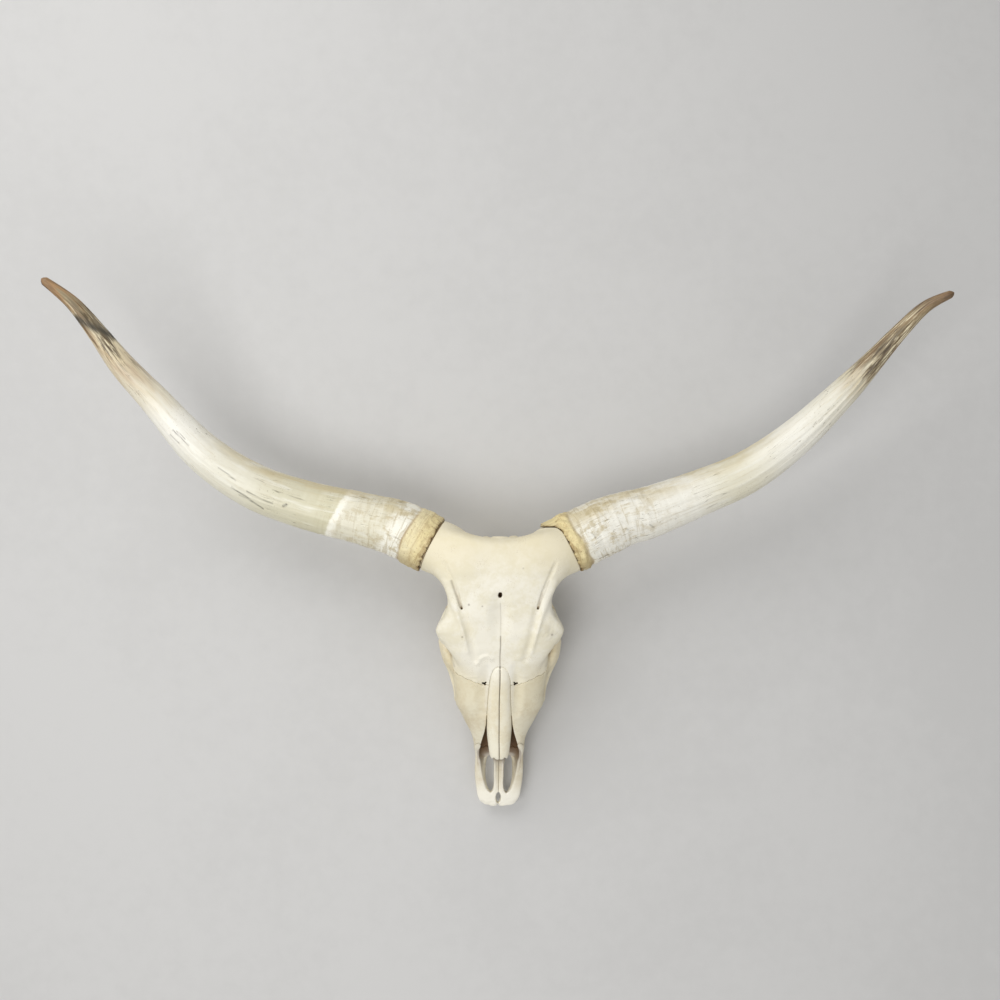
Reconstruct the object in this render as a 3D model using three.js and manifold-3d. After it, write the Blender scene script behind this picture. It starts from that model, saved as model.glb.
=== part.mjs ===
// Skull of a longhorn steer without its lower jaw, resting on its cheek teeth and on the back of the skull.
// Millimetres: x runs to the animal's left, y to the back of its head, z up. While the bones are made, y is 0 at the
// poll and falls towards the nose, and "ahead" is a distance from the poll towards the nose. Paired bones are
// described on the left side. The finished group is set with its origin under the middle of its bounding box.

import * as THREE from "three";
import { mergeVertices } from "three/addons/utils/BufferGeometryUtils.js";
import Module from "manifold-3d";

const wasm = await Module();
wasm.setup();

// ---------------------------------------------------------------- driving dimensions

const SEAM = 0.4; // width of the cut that parts two bones
const RING_SIDES = 22; // points round a section of the skull
const HORN_SIDES = 14; // points round a section of a horn
const EGG_SIDES = 12; // points round an egg-shaped swelling or hollow
const SMOOTHING = 1.1; // how far a face may move when small faces are merged
const NOSE_LEAN = 0.011; // how far the face leans to the right for each millimetre of its length
const LEAN_FROM = 230; // ahead of the poll, where that lean begins

const SOCKET_RADIUS = 45; // inside the rim of a horn sheath
const SOCKET_DEPTH = 17;
const CORE_RADIUS = 43.5; // the bony core that fills the socket
const CORE_DEPTH = 16;
const CORE_ROOT = 4; // how far the core starts inside the bone
const SHEATH_ROOM = 66; // radius kept clear of bone beyond the rim of a sheath
const ROOM_LENGTH = 90;
const BAND_LENGTH = 34; // rough yellow band round the base of a horn
const TIP_SHARE = 0.74; // where along a horn its dark tip begins
const LENGTH_GAP = 0.35; // between the lengths that a horn is divided into

const TOOTH_TOP = 46; // height at which a tooth's crown is well inside the jaw
const TOOTH_LENGTHS = [19, 20, 20, 24, 26, 27]; // premolars 2 to 4, then molars 1 to 3
const TOOTH_WIDTHS = [17, 20, 22, 25, 26, 23];
const TOOTH_ROW_FRONT = 368; // ahead of the poll
const TOOTH_ROW_INSET = [49, 54, 58, 61, 62, 59]; // middle of each tooth from the midline

const CONDYLE = { out: 27, ahead: 25, up: 40, radii: [20, 21, 25] };
const FORAMEN_MAGNUM = { up: 60, radii: [17, 34, 19] };
const ORBIT = { out: 124, ahead: 172, up: 139, radii: [66, 31, 29] };

// Sections across the head: half is the half width, widest the height of its widest line, top and under the heights
// of the section on the midline, and bow how far it bends back by 100 mm out from the midline.
const FOREHEAD = [
  { ahead: 1, half: 58, widest: 186, top: 200, under: 160, bow: 24 },
  { ahead: 7, half: 80, widest: 182, top: 212, under: 140, bow: 24 },
  { ahead: 20, half: 98, widest: 178, top: 219, under: 122, bow: 20 },
  { ahead: 42, half: 110, widest: 176, top: 222, under: 112, bow: 8 },
  { ahead: 62, half: 119, widest: 176, top: 221, under: 118, bow: 0 },
  { ahead: 82, half: 112, widest: 179, top: 218, under: 126, bow: 0 },
  { ahead: 100, half: 103, widest: 181, top: 215, under: 130, bow: 0 },
  { ahead: 118, half: 100, widest: 179, top: 211, under: 132, bow: 0 },
  { ahead: 142, half: 107, widest: 175, top: 205, under: 132, bow: 0 },
  { ahead: 164, half: 118, widest: 169, top: 198, under: 128, bow: 0 },
  { ahead: 180, half: 119, widest: 164, top: 193, under: 120, bow: 0 },
  { ahead: 200, half: 108, widest: 157, top: 186, under: 108, bow: 0 },
  { ahead: 220, half: 95, widest: 150, top: 178, under: 94, bow: 0 },
  { ahead: 242, half: 80, widest: 141, top: 168, under: 78, bow: 0 },
  { ahead: 266, half: 66, widest: 130, top: 156, under: 66, bow: 0 },
];
const FACE = [
  { ahead: 205, half: 88, widest: 110, top: 176, under: 62 },
  { ahead: 228, half: 94, widest: 104, top: 172, under: 46 },
  { ahead: 253, half: 94, widest: 98, top: 163, under: 36 },
  { ahead: 279, half: 90, widest: 90, top: 152, under: 30 },
  { ahead: 302, half: 87, widest: 82, top: 143, under: 28 },
  { ahead: 328, half: 86, widest: 74, top: 133, under: 28 },
  { ahead: 346, half: 77, widest: 70, top: 126, under: 28 },
  { ahead: 364, half: 68, widest: 66, top: 119, under: 29 },
  { ahead: 384, half: 59, widest: 62, top: 112, under: 30 },
  { ahead: 404, half: 53, widest: 58, top: 105, under: 32 },
  { ahead: 440, half: 49, widest: 52, top: 92, under: 34 },
];
const BRAINCASE = [
  { ahead: 14, half: 54, widest: 118, top: 180, under: 66 },
  { ahead: 22, half: 76, widest: 112, top: 196, under: 52 },
  { ahead: 48, half: 82, widest: 108, top: 205, under: 48 },
  { ahead: 78, half: 72, widest: 112, top: 200, under: 52 },
  { ahead: 110, half: 62, widest: 116, top: 195, under: 56 },
  { ahead: 150, half: 56, widest: 116, top: 185, under: 58 },
  { ahead: 192, half: 48, widest: 112, top: 172, under: 58 },
  { ahead: 222, half: 40, widest: 106, top: 160, under: 54 },
];
const NOSE_CAVITY = [
  { ahead: 290, half: 14, widest: 90, top: 112, under: 68 },
  { ahead: 304, half: 27, widest: 84, top: 128, under: 48 },
  { ahead: 335, half: 36, widest: 76, top: 122, under: 42 },
  { ahead: 364, half: 40, widest: 68, top: 109, under: 41 },
  { ahead: 404, half: 42, widest: 60, top: 94, under: 42 },
  { ahead: 450, half: 42, widest: 60, top: 82, under: 42 },
];
const PALATE = [
  { ahead: 222, half: 22, widest: 20, top: 66, under: -20 },
  { ahead: 244, half: 30, widest: 20, top: 44, under: -20 },
  { ahead: 290, half: 36, widest: 18, top: 38, under: -20 },
  { ahead: 350, half: 31, widest: 18, top: 38, under: -20 },
  { ahead: 396, half: 27, widest: 18, top: 39, under: -20 },
  { ahead: 445, half: 25, widest: 18, top: 40, under: -20 },
];
const NASALS = [
  { ahead: 246, half: 8, widest: 152, top: 166, under: 148 },
  { ahead: 252, half: 15, widest: 150, top: 165.5, under: 146 },
  { ahead: 270, half: 18, widest: 142, top: 160, under: 138 },
  { ahead: 295, half: 20, widest: 132, top: 151, under: 128 },
  { ahead: 325, half: 23, widest: 120, top: 141, under: 116 },
  { ahead: 356, half: 25, widest: 109, top: 131, under: 105 },
  { ahead: 385, half: 24.5, widest: 99, top: 121, under: 96 },
  { ahead: 412, half: 22.5, widest: 92, top: 112, under: 89 },
  { ahead: 428, half: 20.5, widest: 88, top: 106, under: 86 },
  { ahead: 436, half: 17, widest: 87, top: 101, under: 85 },
];
const MUZZLE = [
  { ahead: 438, half: 49, widest: 48, top: 70, under: 32 },
  { ahead: 460, half: 48.5, widest: 44, top: 60, under: 30 },
  { ahead: 482, half: 48, widest: 40, top: 52, under: 28 },
  { ahead: 505, half: 45, widest: 36, top: 46, under: 25 },
  { ahead: 523, half: 42, widest: 32, top: 41, under: 22 },
  { ahead: 536, half: 36, widest: 28, top: 36, under: 20 },
  { ahead: 543, half: 26, widest: 26, top: 32, under: 20 },
  { ahead: 546, half: 15, widest: 26, top: 30, under: 21 },
];

// The side profile of the suture between the skull's back and the upper jaws, as [ahead, height].
const JAW_SUTURE = [[287, 190], [282, 128], [266, 102], [238, 70], [224, 52], [224, -12]];
// Below this line, from the side, and outside CHEEK_INNER, the skull's back is the cheekbone and its arch.
const CHEEK = { from: 96, to: 300, low: 55, high: 125, inner: 78, outer: 150 };
// The upper edge of the side wall of the nose, ahead of where the nasal bones stand free.
const NOSE_WALL = [[350, 140], [354, 106], [372, 88], [400, 78], [440, 68], [460, 160]];
// The suture in front of the upper jaws, from the side.
const MUZZLE_SUTURE = [[392, 140], [412, 72], [432, 20]];

// Horn centrelines from the rim of the sheath to the tip: out from the midline, back from the poll, up, radius.
const LEFT_HORN = [
  [127, -19, 150, 54],
  [189, 13, 146, 55.5],
  [236, 32, 143, 51.5],
  [284, 45, 142, 49],
  [378, 81, 144, 43.5],
  [469, 122, 156, 40],
  [555, 187, 182, 34],
  [634, 270, 222, 25.5],
  [679, 324, 250, 18.5],
  [715, 369, 274, 14],
  [753, 410, 297, 9.5],
  [795, 431, 318, 4],
];
const RIGHT_HORN = [
  [129, -18, 150, 54],
  [189, 12, 146, 53.5],
  [245, 28, 143, 49.5],
  [284, 38, 142, 48],
  [378, 61, 143, 45.5],
  [469, 96, 155, 42.5],
  [555, 157, 182, 37],
  [633, 252, 225, 27.5],
  [680, 309, 253, 23],
  [717, 365, 278, 17],
  [754, 416, 303, 11.5],
  [801, 455, 322, 4.5],
];

// ---------------------------------------------------------------- geometry

// A closed geometry as a solid that can be joined and cut.
function solid(geometry) {
  const bare = geometry.clone();
  bare.deleteAttribute("normal");
  bare.deleteAttribute("uv");
  const merged = mergeVertices(bare, 1e-3);
  const kept = [];
  const index = merged.index.array;
  for (let i = 0; i < index.length; i += 3) {
    const [a, b, c] = index.slice(i, i + 3);
    if (a !== b && b !== c && c !== a) kept.push(a, b, c);
  }
  const mesh = new wasm.Mesh({
    numProp: 3,
    vertProperties: merged.attributes.position.array,
    triVerts: new Uint32Array(kept),
  });
  return new wasm.Manifold(mesh);
}

const joined = (solids) => solids.reduce((whole, piece) => whole.add(piece));
const bothSides = (piece) => piece.add(piece.mirror([1, 0, 0]));

// A skin over rings of points, each ring counterclockwise as seen looking back from the ring after it.
function skin(rings) {
  const count = rings[0].length;
  const points = rings.flat();
  const faces = [];
  for (let r = 0; r + 1 < rings.length; r++) {
    for (let k = 0; k < count; k++) {
      const a = r * count + k;
      const b = r * count + ((k + 1) % count);
      faces.push(a, b, b + count, a, b + count, a + count);
    }
  }
  for (const first of [0, (rings.length - 1) * count]) {
    const middle = points.length;
    const centre = new THREE.Vector3();
    for (let k = 0; k < count; k++) centre.addScaledVector(points[first + k], 1 / count);
    points.push(centre);
    for (let k = 0; k < count; k++) {
      const pair = [first + k, first + ((k + 1) % count)];
      faces.push(middle, ...(first === 0 ? pair.reverse() : pair));
    }
  }
  return new THREE.BufferGeometry().setFromPoints(points).setIndex(faces);
}

// Catmull-Rom value at a share of the way from q to u, with p before them and v after them.
function spline(p, q, u, v, share) {
  const enter = (u - p) / 2;
  const leave = (v - q) / 2;
  const rise = u - q;
  return q + share * (enter + share * (3 * rise - 2 * enter - leave + share * (enter + leave - 2 * rise)));
}

// The row of a table of numbers at a place along it, where place 1.5 is half way between rows 1 and 2.
function rowAt(table, place) {
  const i = Math.min(Math.floor(place), table.length - 2);
  const near = [i - 1, i, i + 1, i + 2].map((n) => table[Math.min(Math.max(n, 0), table.length - 1)]);
  return near[1].map((_, n) => spline(...near.map((row) => row[n]), place - i));
}

const signedPower = (base, exponent) => Math.sign(base) * Math.abs(base) ** exponent;

// A long body with superelliptic sections. above and below say how square its two halves are (2 is an ellipse).
function body(table, above, below, grow = 0) {
  const rings = [];
  for (const { ahead, half, widest, top, under, bow = 0 } of table) {
    const ring = [];
    for (let k = 0; k < RING_SIDES; k++) {
      const angle = (2 * Math.PI * k) / RING_SIDES;
      const upper = Math.sin(angle) >= 0;
      const roundness = 2 / (upper ? above : below);
      const reach = (upper ? top - widest : widest - under) + grow;
      const x = (half + grow) * signedPower(Math.cos(angle), roundness);
      const z = widest + reach * signedPower(Math.sin(angle), roundness);
      ring.push(new THREE.Vector3(x, -ahead + bow * (x / 100) ** 2, z));
    }
    rings.push(ring);
  }
  return solid(skin(rings));
}

// A tapering round limb along a smooth path. A knot is [x, ahead, height, half width, half height].
function limb(knots, sides = 8, steps = 6) {
  const rings = [];
  for (let s = 0; s <= steps; s++) {
    const place = (s / steps) * (knots.length - 1);
    const [x, ahead, z, wide, tall] = rowAt(knots, place);
    const before = rowAt(knots, Math.max(place - 0.02, 0));
    const after = rowAt(knots, Math.min(place + 0.02, knots.length - 1));
    const along = new THREE.Vector3(after[0] - before[0], before[1] - after[1], after[2] - before[2]).normalize();
    const raised = Math.abs(along.z) < 0.85 ? new THREE.Vector3(0, 0, 1) : new THREE.Vector3(0, 1, 0);
    raised.addScaledVector(along, -raised.dot(along)).normalize();
    const aside = raised.clone().cross(along);
    const ring = [];
    for (let k = 0; k < sides; k++) {
      const angle = (2 * Math.PI * (k + 0.5)) / sides;
      const point = new THREE.Vector3(x, -ahead, z).addScaledVector(aside, wide * Math.cos(angle));
      ring.push(point.addScaledVector(raised, tall * Math.sin(angle)));
    }
    rings.push(ring);
  }
  return solid(skin(rings));
}

function egg([x, ahead, z], radii, turn = [0, 0, 0]) {
  const ball = new THREE.SphereGeometry(1, EGG_SIDES, EGG_SIDES / 2).rotateX(Math.PI / 2).scale(...radii);
  ball.applyMatrix4(new THREE.Matrix4().makeRotationFromEuler(new THREE.Euler(...turn)));
  return solid(ball.translate(x, -ahead, z));
}

// An outline seen from above, as [x, ahead] points, between two heights.
function prism(outline, low, high) {
  const shape = new THREE.Shape(outline.map(([x, ahead]) => new THREE.Vector2(x, -ahead)));
  const block = new THREE.ExtrudeGeometry(shape, { depth: high - low, bevelEnabled: false });
  return solid(block.translate(0, 0, low));
}

// An outline seen from the side, as [ahead, height] points, between two distances to the left of the midline.
function slab(outline, near, far) {
  const shape = new THREE.Shape(outline.map(([ahead, z]) => new THREE.Vector2(-ahead, z)));
  const block = new THREE.ExtrudeGeometry(shape, { depth: far - near, bevelEnabled: false });
  return solid(block.rotateX(Math.PI / 2).rotateZ(Math.PI / 2).translate(near, 0, 0));
}

// The outline of a thin band along an open line of points.
function ribbon(line, width) {
  const sides = [[], []];
  line.forEach(([u, v], i) => {
    const [u0, v0] = line[Math.max(i - 1, 0)];
    const [u1, v1] = line[Math.min(i + 1, line.length - 1)];
    const length = Math.hypot(u1 - u0, v1 - v0);
    const [nu, nv] = [((v1 - v0) / length) * (width / 2), (-(u1 - u0) / length) * (width / 2)];
    sides[0].push([u + nu, v + nv]);
    sides[1].unshift([u - nu, v - nv]);
  });
  return sides.flat();
}

// ---------------------------------------------------------------- back of the skull

// The centre, direction and radius of a horn at a place along its table.
function hornFrame(horn, place) {
  const [x, back, z, radius] = rowAt(horn, place);
  const before = rowAt(horn, Math.max(place - 0.05, 0));
  const after = rowAt(horn, Math.min(place + 0.05, horn.length - 1));
  const along = new THREE.Vector3(after[0] - before[0], after[1] - before[1], after[2] - before[2]).normalize();
  const raised = new THREE.Vector3(0, 0, 1);
  raised.addScaledVector(along, -raised.dot(along)).normalize();
  return { centre: new THREE.Vector3(x, back, z), along, raised, aside: raised.clone().cross(along), radius };
}

function hornRing({ centre, raised, aside }, radius) {
  const ring = [];
  for (let k = 0; k < HORN_SIDES; k++) {
    const angle = (2 * Math.PI * k) / HORN_SIDES;
    const point = centre.clone().addScaledVector(aside, radius * Math.cos(angle));
    ring.push(point.addScaledVector(raised, radius * Math.sin(angle)));
  }
  return ring;
}

// A straight plug through the rim of a sheath, from behind the rim to ahead of it.
function plug(horn, side, radius, behind, reach) {
  const frame = hornFrame(horn, 0);
  const rings = [-behind, reach].map((distance) => {
    const centre = frame.centre.clone().addScaledVector(frame.along, distance);
    return hornRing({ ...frame, centre }, radius);
  });
  const block = solid(skin(rings));
  return side > 0 ? block : block.mirror([1, 0, 0]);
}

const arch = bothSides(
  limb(
    [
      [76, 262, 84, 20, 22],
      [98, 238, 98, 15, 22],
      [107, 208, 108, 11, 15],
      [108, 178, 108, 9, 11],
      [104, 150, 108, 8, 12],
      [97, 120, 113, 7, 10],
      [86, 92, 116, 9, 9],
      [66, 70, 114, 18, 11],
    ],
    8,
    14,
  ),
);
const orbitPost = bothSides(limb([[100, 150, 168, 11, 13], [106, 147, 142, 7, 9], [104, 152, 108, 8, 11]], 8, 4));
const cornualRoots = joined(
  [[LEFT_HORN, 1], [RIGHT_HORN, -1]].map(([horn, side]) => {
    const [x, back, z] = horn[0];
    const knots = [
      [side * 62, 34, 172, 44, 44],
      [side * 98, 30, 162, 50, 50],
      [side * x, -back, z, 51, 51],
    ];
    return limb(side > 0 ? knots : knots.reverse(), HORN_SIDES, 3);
  }),
);
const plugs = (...sizes) => joined([plug(LEFT_HORN, 1, ...sizes), plug(RIGHT_HORN, -1, ...sizes)]);
const cores = plugs(CORE_RADIUS, CORE_ROOT, CORE_DEPTH);
const hornRoom = plugs(SHEATH_ROOM, LENGTH_GAP, ROOM_LENGTH);
const condyles = bothSides(egg([CONDYLE.out, CONDYLE.ahead, CONDYLE.up], CONDYLE.radii, [0.3, 0, -0.5]));
const nuchalProcesses = bothSides(limb([[60, 44, 92, 13, 16], [56, 44, 46, 9, 15], [50, 48, 0, 5, 9]]));
const bullae = bothSides(egg([40, 88, 48], [13, 20, 20], [0.3, 0, 0]));
const skullBase = limb([[0, 26, 44, 22, 14], [0, 70, 50, 24, 13], [0, 130, 52, 15, 13], [0, 225, 58, 12, 14]]);
const pterygoids = bothSides(limb([[20, 150, 62, 5, 10], [24, 190, 46, 5, 22], [27, 232, 38, 7, 20]]));
const earTubes = bothSides(limb([[52, 70, 84, 9, 9], [90, 62, 94, 8, 8]], 8, 1));
const crest = limb([[0, 12, 196, 10, 8], [0, 13, 150, 9, 7], [0, 14, 112, 13, 8]], 8, 3);

// ---------------------------------------------------------------- upper jaws

const alveoli = bothSides(
  limb([[47, 376, 36, 11, 12], [56, 330, 38, 15, 20], [61, 285, 40, 16, 24], [59, 236, 44, 13, 24]], 8, 6),
);

// One cheek tooth: a crown with two lobes on its outer side, three on a molar with a rear column.
function tooth(middle, inset, length, width, lobes) {
  const outline = [];
  const points = 12;
  for (let k = 0; k < points; k++) {
    const angle = (2 * Math.PI * k) / points;
    const along = (length / 2) * signedPower(Math.cos(angle), 0.62);
    const flute = lobes === 2 ? 0.1 * Math.cos(3 * angle) ** 2 : 0;
    const across = (width / 2) * signedPower(Math.sin(angle), 0.7) * (1 - flute);
    outline.push([inset + across, middle + along]);
  }
  return prism(outline.reverse(), 0, TOOTH_TOP);
}

let toothFront = TOOTH_ROW_FRONT;
const teeth = TOOTH_LENGTHS.map((length, n) => {
  const middle = toothFront - length / 2;
  toothFront -= length - 0.6;
  return tooth(middle, TOOTH_ROW_INSET[n], length, TOOTH_WIDTHS[n], n < 3 ? 1 : 2);
});

// ---------------------------------------------------------------- nose

const nasals = (grow) => body(NASALS, 2.4, 5, grow);
const nostrilCut = slab(NOSE_WALL, -70, 70);

const fissure = bothSides(
  prism([[11, 452], [10, 490], [12, 508], [18, 514], [24, 506], [27, 480], [26, 452], [19, 444]], -10, 90),
);
const gutter = bothSides(limb([[25, 434, 62, 14, 20], [24, 478, 62, 13, 22], [21, 512, 56, 8, 14]], 8, 4));
const gumDip = egg([0.5, 526, 40], [7, 15, 26]);

const muzzle = body(MUZZLE, 2.6, 3).subtract(joined([fissure, gutter, gumDip])).simplify(SMOOTHING);

// ---------------------------------------------------------------- parting

const back = joined([
  body(FOREHEAD, 3.2, 2),
  body(BRAINCASE, 2.4, 2.4),
  arch,
  orbitPost,
  cornualRoots,
  condyles,
  nuchalProcesses,
  bullae,
  skullBase,
  pterygoids,
  earTubes,
  crest,
]);
const face = joined([body(FACE, 2.6, 2.6), alveoli]);
const orbits = bothSides(egg([ORBIT.out, ORBIT.ahead, ORBIT.up], ORBIT.radii, [0, 0.12, 0.16]));
const foramen = egg([0, CONDYLE.ahead - 14, FORAMEN_MAGNUM.up], FORAMEN_MAGNUM.radii, [0.25, 0, 0]);
const temples = bothSides(egg([98, 96, 134], [22, 40, 22], [0, 0, 0.1]));
const bored = joined([hornRoom, orbits, foramen, body(NOSE_CAVITY, 2.3, 3), body(PALATE, 2.5, 2), nostrilCut, temples]);

const skull = back.add(face).subtract(bored).add(bothSides(joined(teeth))).add(cores).simplify(SMOOTHING);
const floorCut = prism([[-400, -300], [400, -300], [400, 700], [-400, 700]], -60, 0);
const inlaid = skull.subtract(nasals(SEAM)).subtract(floorCut);

const jawCut = slab(ribbon(JAW_SUTURE, SEAM), -200, 200);
const muzzleCut = slab(ribbon(MUZZLE_SUTURE, SEAM), -100, 100);
const aheadOfJaw = slab([...JAW_SUTURE, [600, -12], [600, 190]], -200, 200);
const midlineCut = prism([[-SEAM / 2, 200], [SEAM / 2, 200], [SEAM / 2, 580], [-SEAM / 2, 580]], -40, 260);
const cheekSlab = (grow) => {
  const { from, to, low, high, inner, outer } = CHEEK;
  const outline = [[from - grow, low], [to, low], [to, high + grow], [from - grow, high + grow]];
  return slab(outline, inner - grow, outer);
};
const leftHalf = prism([[0, 200], [200, 200], [200, 600], [0, 600]], -40, 260);
const aheadOfMuzzle = slab([...MUZZLE_SUTURE, [600, 20], [600, 140]], -100, 100);

const rear = inlaid.subtract(jawCut).subtract(aheadOfJaw);
const front = inlaid.subtract(jawCut).intersect(aheadOfJaw);
const cheeks = bothSides(cheekSlab(0));
const snout = front.intersect(aheadOfMuzzle).add(muzzle).subtract(muzzleCut).subtract(midlineCut);
const jaws = front.subtract(aheadOfMuzzle).subtract(muzzleCut).subtract(midlineCut);
const noseBones = nasals(0).subtract(body(NOSE_CAVITY, 2.3, 3)).subtract(midlineCut);

// The largest piece of a solid, so that no crumb is left beside it.
const largest = (whole) => whole.decompose().sort((a, b) => b.volume() - a.volume())[0];

// ---------------------------------------------------------------- horns

// One length of a horn between two places along its table, with swell on its radius.
function hornLength(horn, side, from, to, sections, swell = 1) {
  const rings = [];
  for (let s = 0; s <= sections; s++) {
    const place = from + ((to - from) * s) / sections;
    const frame = hornFrame(horn, place);
    const blunting = horn.length - 1 - place < 0.02 ? 0.55 : 1;
    rings.push(hornRing(frame, frame.radius * swell * blunting));
  }
  const length = solid(skin(rings));
  return side > 0 ? length : length.mirror([1, 0, 0]);
}

// The place along a horn's table that lies a given distance from its rim.
function placeAt(horn, distance) {
  let [place, gone] = [0, 0];
  let last = rowAt(horn, 0);
  while (gone < distance && place < horn.length - 1) {
    place += 0.005;
    const here = rowAt(horn, place);
    gone += Math.hypot(here[0] - last[0], here[1] - last[1], here[2] - last[2]);
    last = here;
  }
  return place;
}

function horn(table, side) {
  const total = 905;
  const band = placeAt(table, BAND_LENGTH);
  const shaft = placeAt(table, BAND_LENGTH + LENGTH_GAP);
  const shaftEnd = placeAt(table, total * TIP_SHARE);
  const tip = placeAt(table, total * TIP_SHARE + LENGTH_GAP);
  const socket = plug(table, side, SOCKET_RADIUS, CORE_ROOT, SOCKET_DEPTH);
  return {
    base: hornLength(table, side, 0, band, 3, 1.02).subtract(socket),
    shaft: hornLength(table, side, shaft, shaftEnd, 16),
    tip: hornLength(table, side, tip, table.length - 1, 9),
  };
}

const leftHorn = horn(LEFT_HORN, 1);
const rightHorn = horn(RIGHT_HORN, -1);

// ---------------------------------------------------------------- nodes

const BONE = [0xe6e0cb, 0.62];
const PALE_BONE = [0xeee8d6, 0.6];
const JAW_BONE = [0xcfc4a9, 0.68];
const BAND = [0xe0cd98, 0.6];
const HORN = [0xf0ead6, 0.36];
const TIP = [0x9a8466, 0.4];

const group = new THREE.Group();
group.name = "longhorn_steer_skull";

function lean(geometry) {
  const position = geometry.attributes.position;
  for (let i = 0; i < position.count; i++) {
    const beyond = Math.max(-position.getY(i) - LEAN_FROM, 0);
    position.setX(i, position.getX(i) - NOSE_LEAN * beyond);
  }
}

function addNode(name, piece, [colour, roughness]) {
  const { vertProperties, triVerts, numProp } = largest(piece).getMesh();
  const positions = new Float32Array((vertProperties.length / numProp) * 3);
  for (let i = 0; i < positions.length / 3; i++) {
    positions.set(vertProperties.subarray(i * numProp, i * numProp + 3), i * 3);
  }
  const geometry = new THREE.BufferGeometry();
  geometry.setAttribute("position", new THREE.BufferAttribute(positions, 3));
  geometry.setIndex([...triVerts]);
  lean(geometry);
  geometry.computeVertexNormals();
  const material = new THREE.MeshStandardMaterial({ color: colour, roughness, metalness: 0 });
  material.name = `${name}_surface`;
  const mesh = new THREE.Mesh(geometry, material);
  mesh.name = name;
  group.add(mesh);
}

const halves = (piece, side) => (side > 0 ? piece.intersect(leftHalf) : piece.subtract(leftHalf));

addNode("cranium", rear.subtract(bothSides(cheekSlab(SEAM))), BONE);
addNode("cheekbone_left", rear.intersect(cheekSlab(0)), BONE);
addNode("cheekbone_right", rear.intersect(cheekSlab(0).mirror([1, 0, 0])), BONE);
for (const [suffix, side, pieces] of [["left", 1, leftHorn], ["right", -1, rightHorn]]) {
  addNode(`upper_jaw_${suffix}`, halves(jaws, side), JAW_BONE);
  addNode(`nasal_${suffix}`, halves(noseBones, side), PALE_BONE);
  addNode(`premaxilla_${suffix}`, halves(snout, side), BONE);
  addNode(`horn_base_${suffix}`, pieces.base, BAND);
  addNode(`horn_${suffix}`, pieces.shaft, HORN);
  addNode(`horn_tip_${suffix}`, pieces.tip, TIP);
}

const box = new THREE.Box3().setFromObject(group);
const middle = box.getCenter(new THREE.Vector3());
for (const mesh of group.children) mesh.geometry.translate(-middle.x, -middle.y, -box.min.z);

export default group;
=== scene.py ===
"""Skull of a longhorn steer without its lower jaw, on a pale studio floor.

The bones are modelled as one soft field on a grid, in millimetres, and each bone is skinned from its share
of it. x runs to the animal's left, y to the back of the head and z up. y is 0 at the poll, and "ahead" is a
distance from the poll towards the nose. At the end everything is set in the frame's own place, in metres.
"""

import math

import bpy
import numpy as np
from mathutils import Matrix, Vector


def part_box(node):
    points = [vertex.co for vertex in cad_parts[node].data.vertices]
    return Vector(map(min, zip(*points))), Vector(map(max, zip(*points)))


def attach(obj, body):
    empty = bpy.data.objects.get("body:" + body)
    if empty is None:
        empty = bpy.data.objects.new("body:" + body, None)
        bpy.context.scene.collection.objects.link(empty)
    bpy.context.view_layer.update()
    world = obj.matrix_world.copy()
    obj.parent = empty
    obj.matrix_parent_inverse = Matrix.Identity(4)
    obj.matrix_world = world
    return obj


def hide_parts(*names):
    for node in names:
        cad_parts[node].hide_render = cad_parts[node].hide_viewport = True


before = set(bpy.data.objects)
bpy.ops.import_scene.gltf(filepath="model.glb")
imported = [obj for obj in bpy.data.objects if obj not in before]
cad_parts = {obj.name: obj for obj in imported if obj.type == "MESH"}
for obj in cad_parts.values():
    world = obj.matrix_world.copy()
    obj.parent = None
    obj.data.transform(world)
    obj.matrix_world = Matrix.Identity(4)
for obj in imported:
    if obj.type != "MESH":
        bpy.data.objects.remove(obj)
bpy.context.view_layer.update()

MM = 0.001

# ---------------- driving sizes, as the solids have them

NOSE_LEAN = 0.011  # how far the face leans to the right for each millimetre of its length
LEAN_FROM = 230
NOSE_TIP = 546  # poll to the front of the muzzle

VOXEL = 1.3  # mm between the points of the field
FIELD_LOW = np.array([0.0, -556.0, -4.0])  # lowest corner of the field: midline, nose, floor
FIELD_HIGH = np.array([172.0, 44.0, 232.0])

# Sections across the head: ahead, half width, height of the widest line, top, under, bow
FOREHEAD = [
    (2.4, 12, 186, 199, 162, 26),
    (2.7, 34, 186, 200, 160, 26),
    (3.4, 54, 186, 203, 155, 26),
    (6.6, 74, 183, 210, 143, 24.5),
    (12, 88, 180, 216, 131, 22.5),
    (20, 98, 178, 219, 122, 20),
    (42, 110, 176, 222, 112, 8),
    (62, 119, 176, 221, 118, 0),
    (82, 112, 179, 218, 126, 0),
    (100, 103, 181, 215, 130, 0),
    (118, 98, 179, 211, 132, 0),
    (140, 99.5, 175, 205.5, 132, 0),
    (152, 106, 172, 202, 130, 0),
    (164, 115, 169, 198, 128, 0),
    (177, 120, 165, 194, 121, 0),
    (188, 116.5, 161, 190, 115, 0),
    (202, 107, 156, 185, 107, 0),
    (220, 95, 150, 178, 94, 0),
    (242, 80, 141, 168, 78, 0),
    (266, 66, 130, 156, 66, 0),
]
FACE = [
    (205, 88, 110, 176, 62),
    (228, 94, 104, 172, 46),
    (253, 94, 98, 163, 36),
    (279, 90, 90, 152, 30),
    (302, 87, 82, 143, 28),
    (328, 86, 74, 133, 28),
    (346, 77, 70, 126, 28),
    (364, 68, 66, 119, 29),
    (384, 59, 62, 112, 30),
    (404, 52.5, 58, 105, 32),
    (420, 49, 55, 99, 33),
    (430, 46, 53, 95, 34),
    (440, 42, 52, 92, 34),
]
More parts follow.
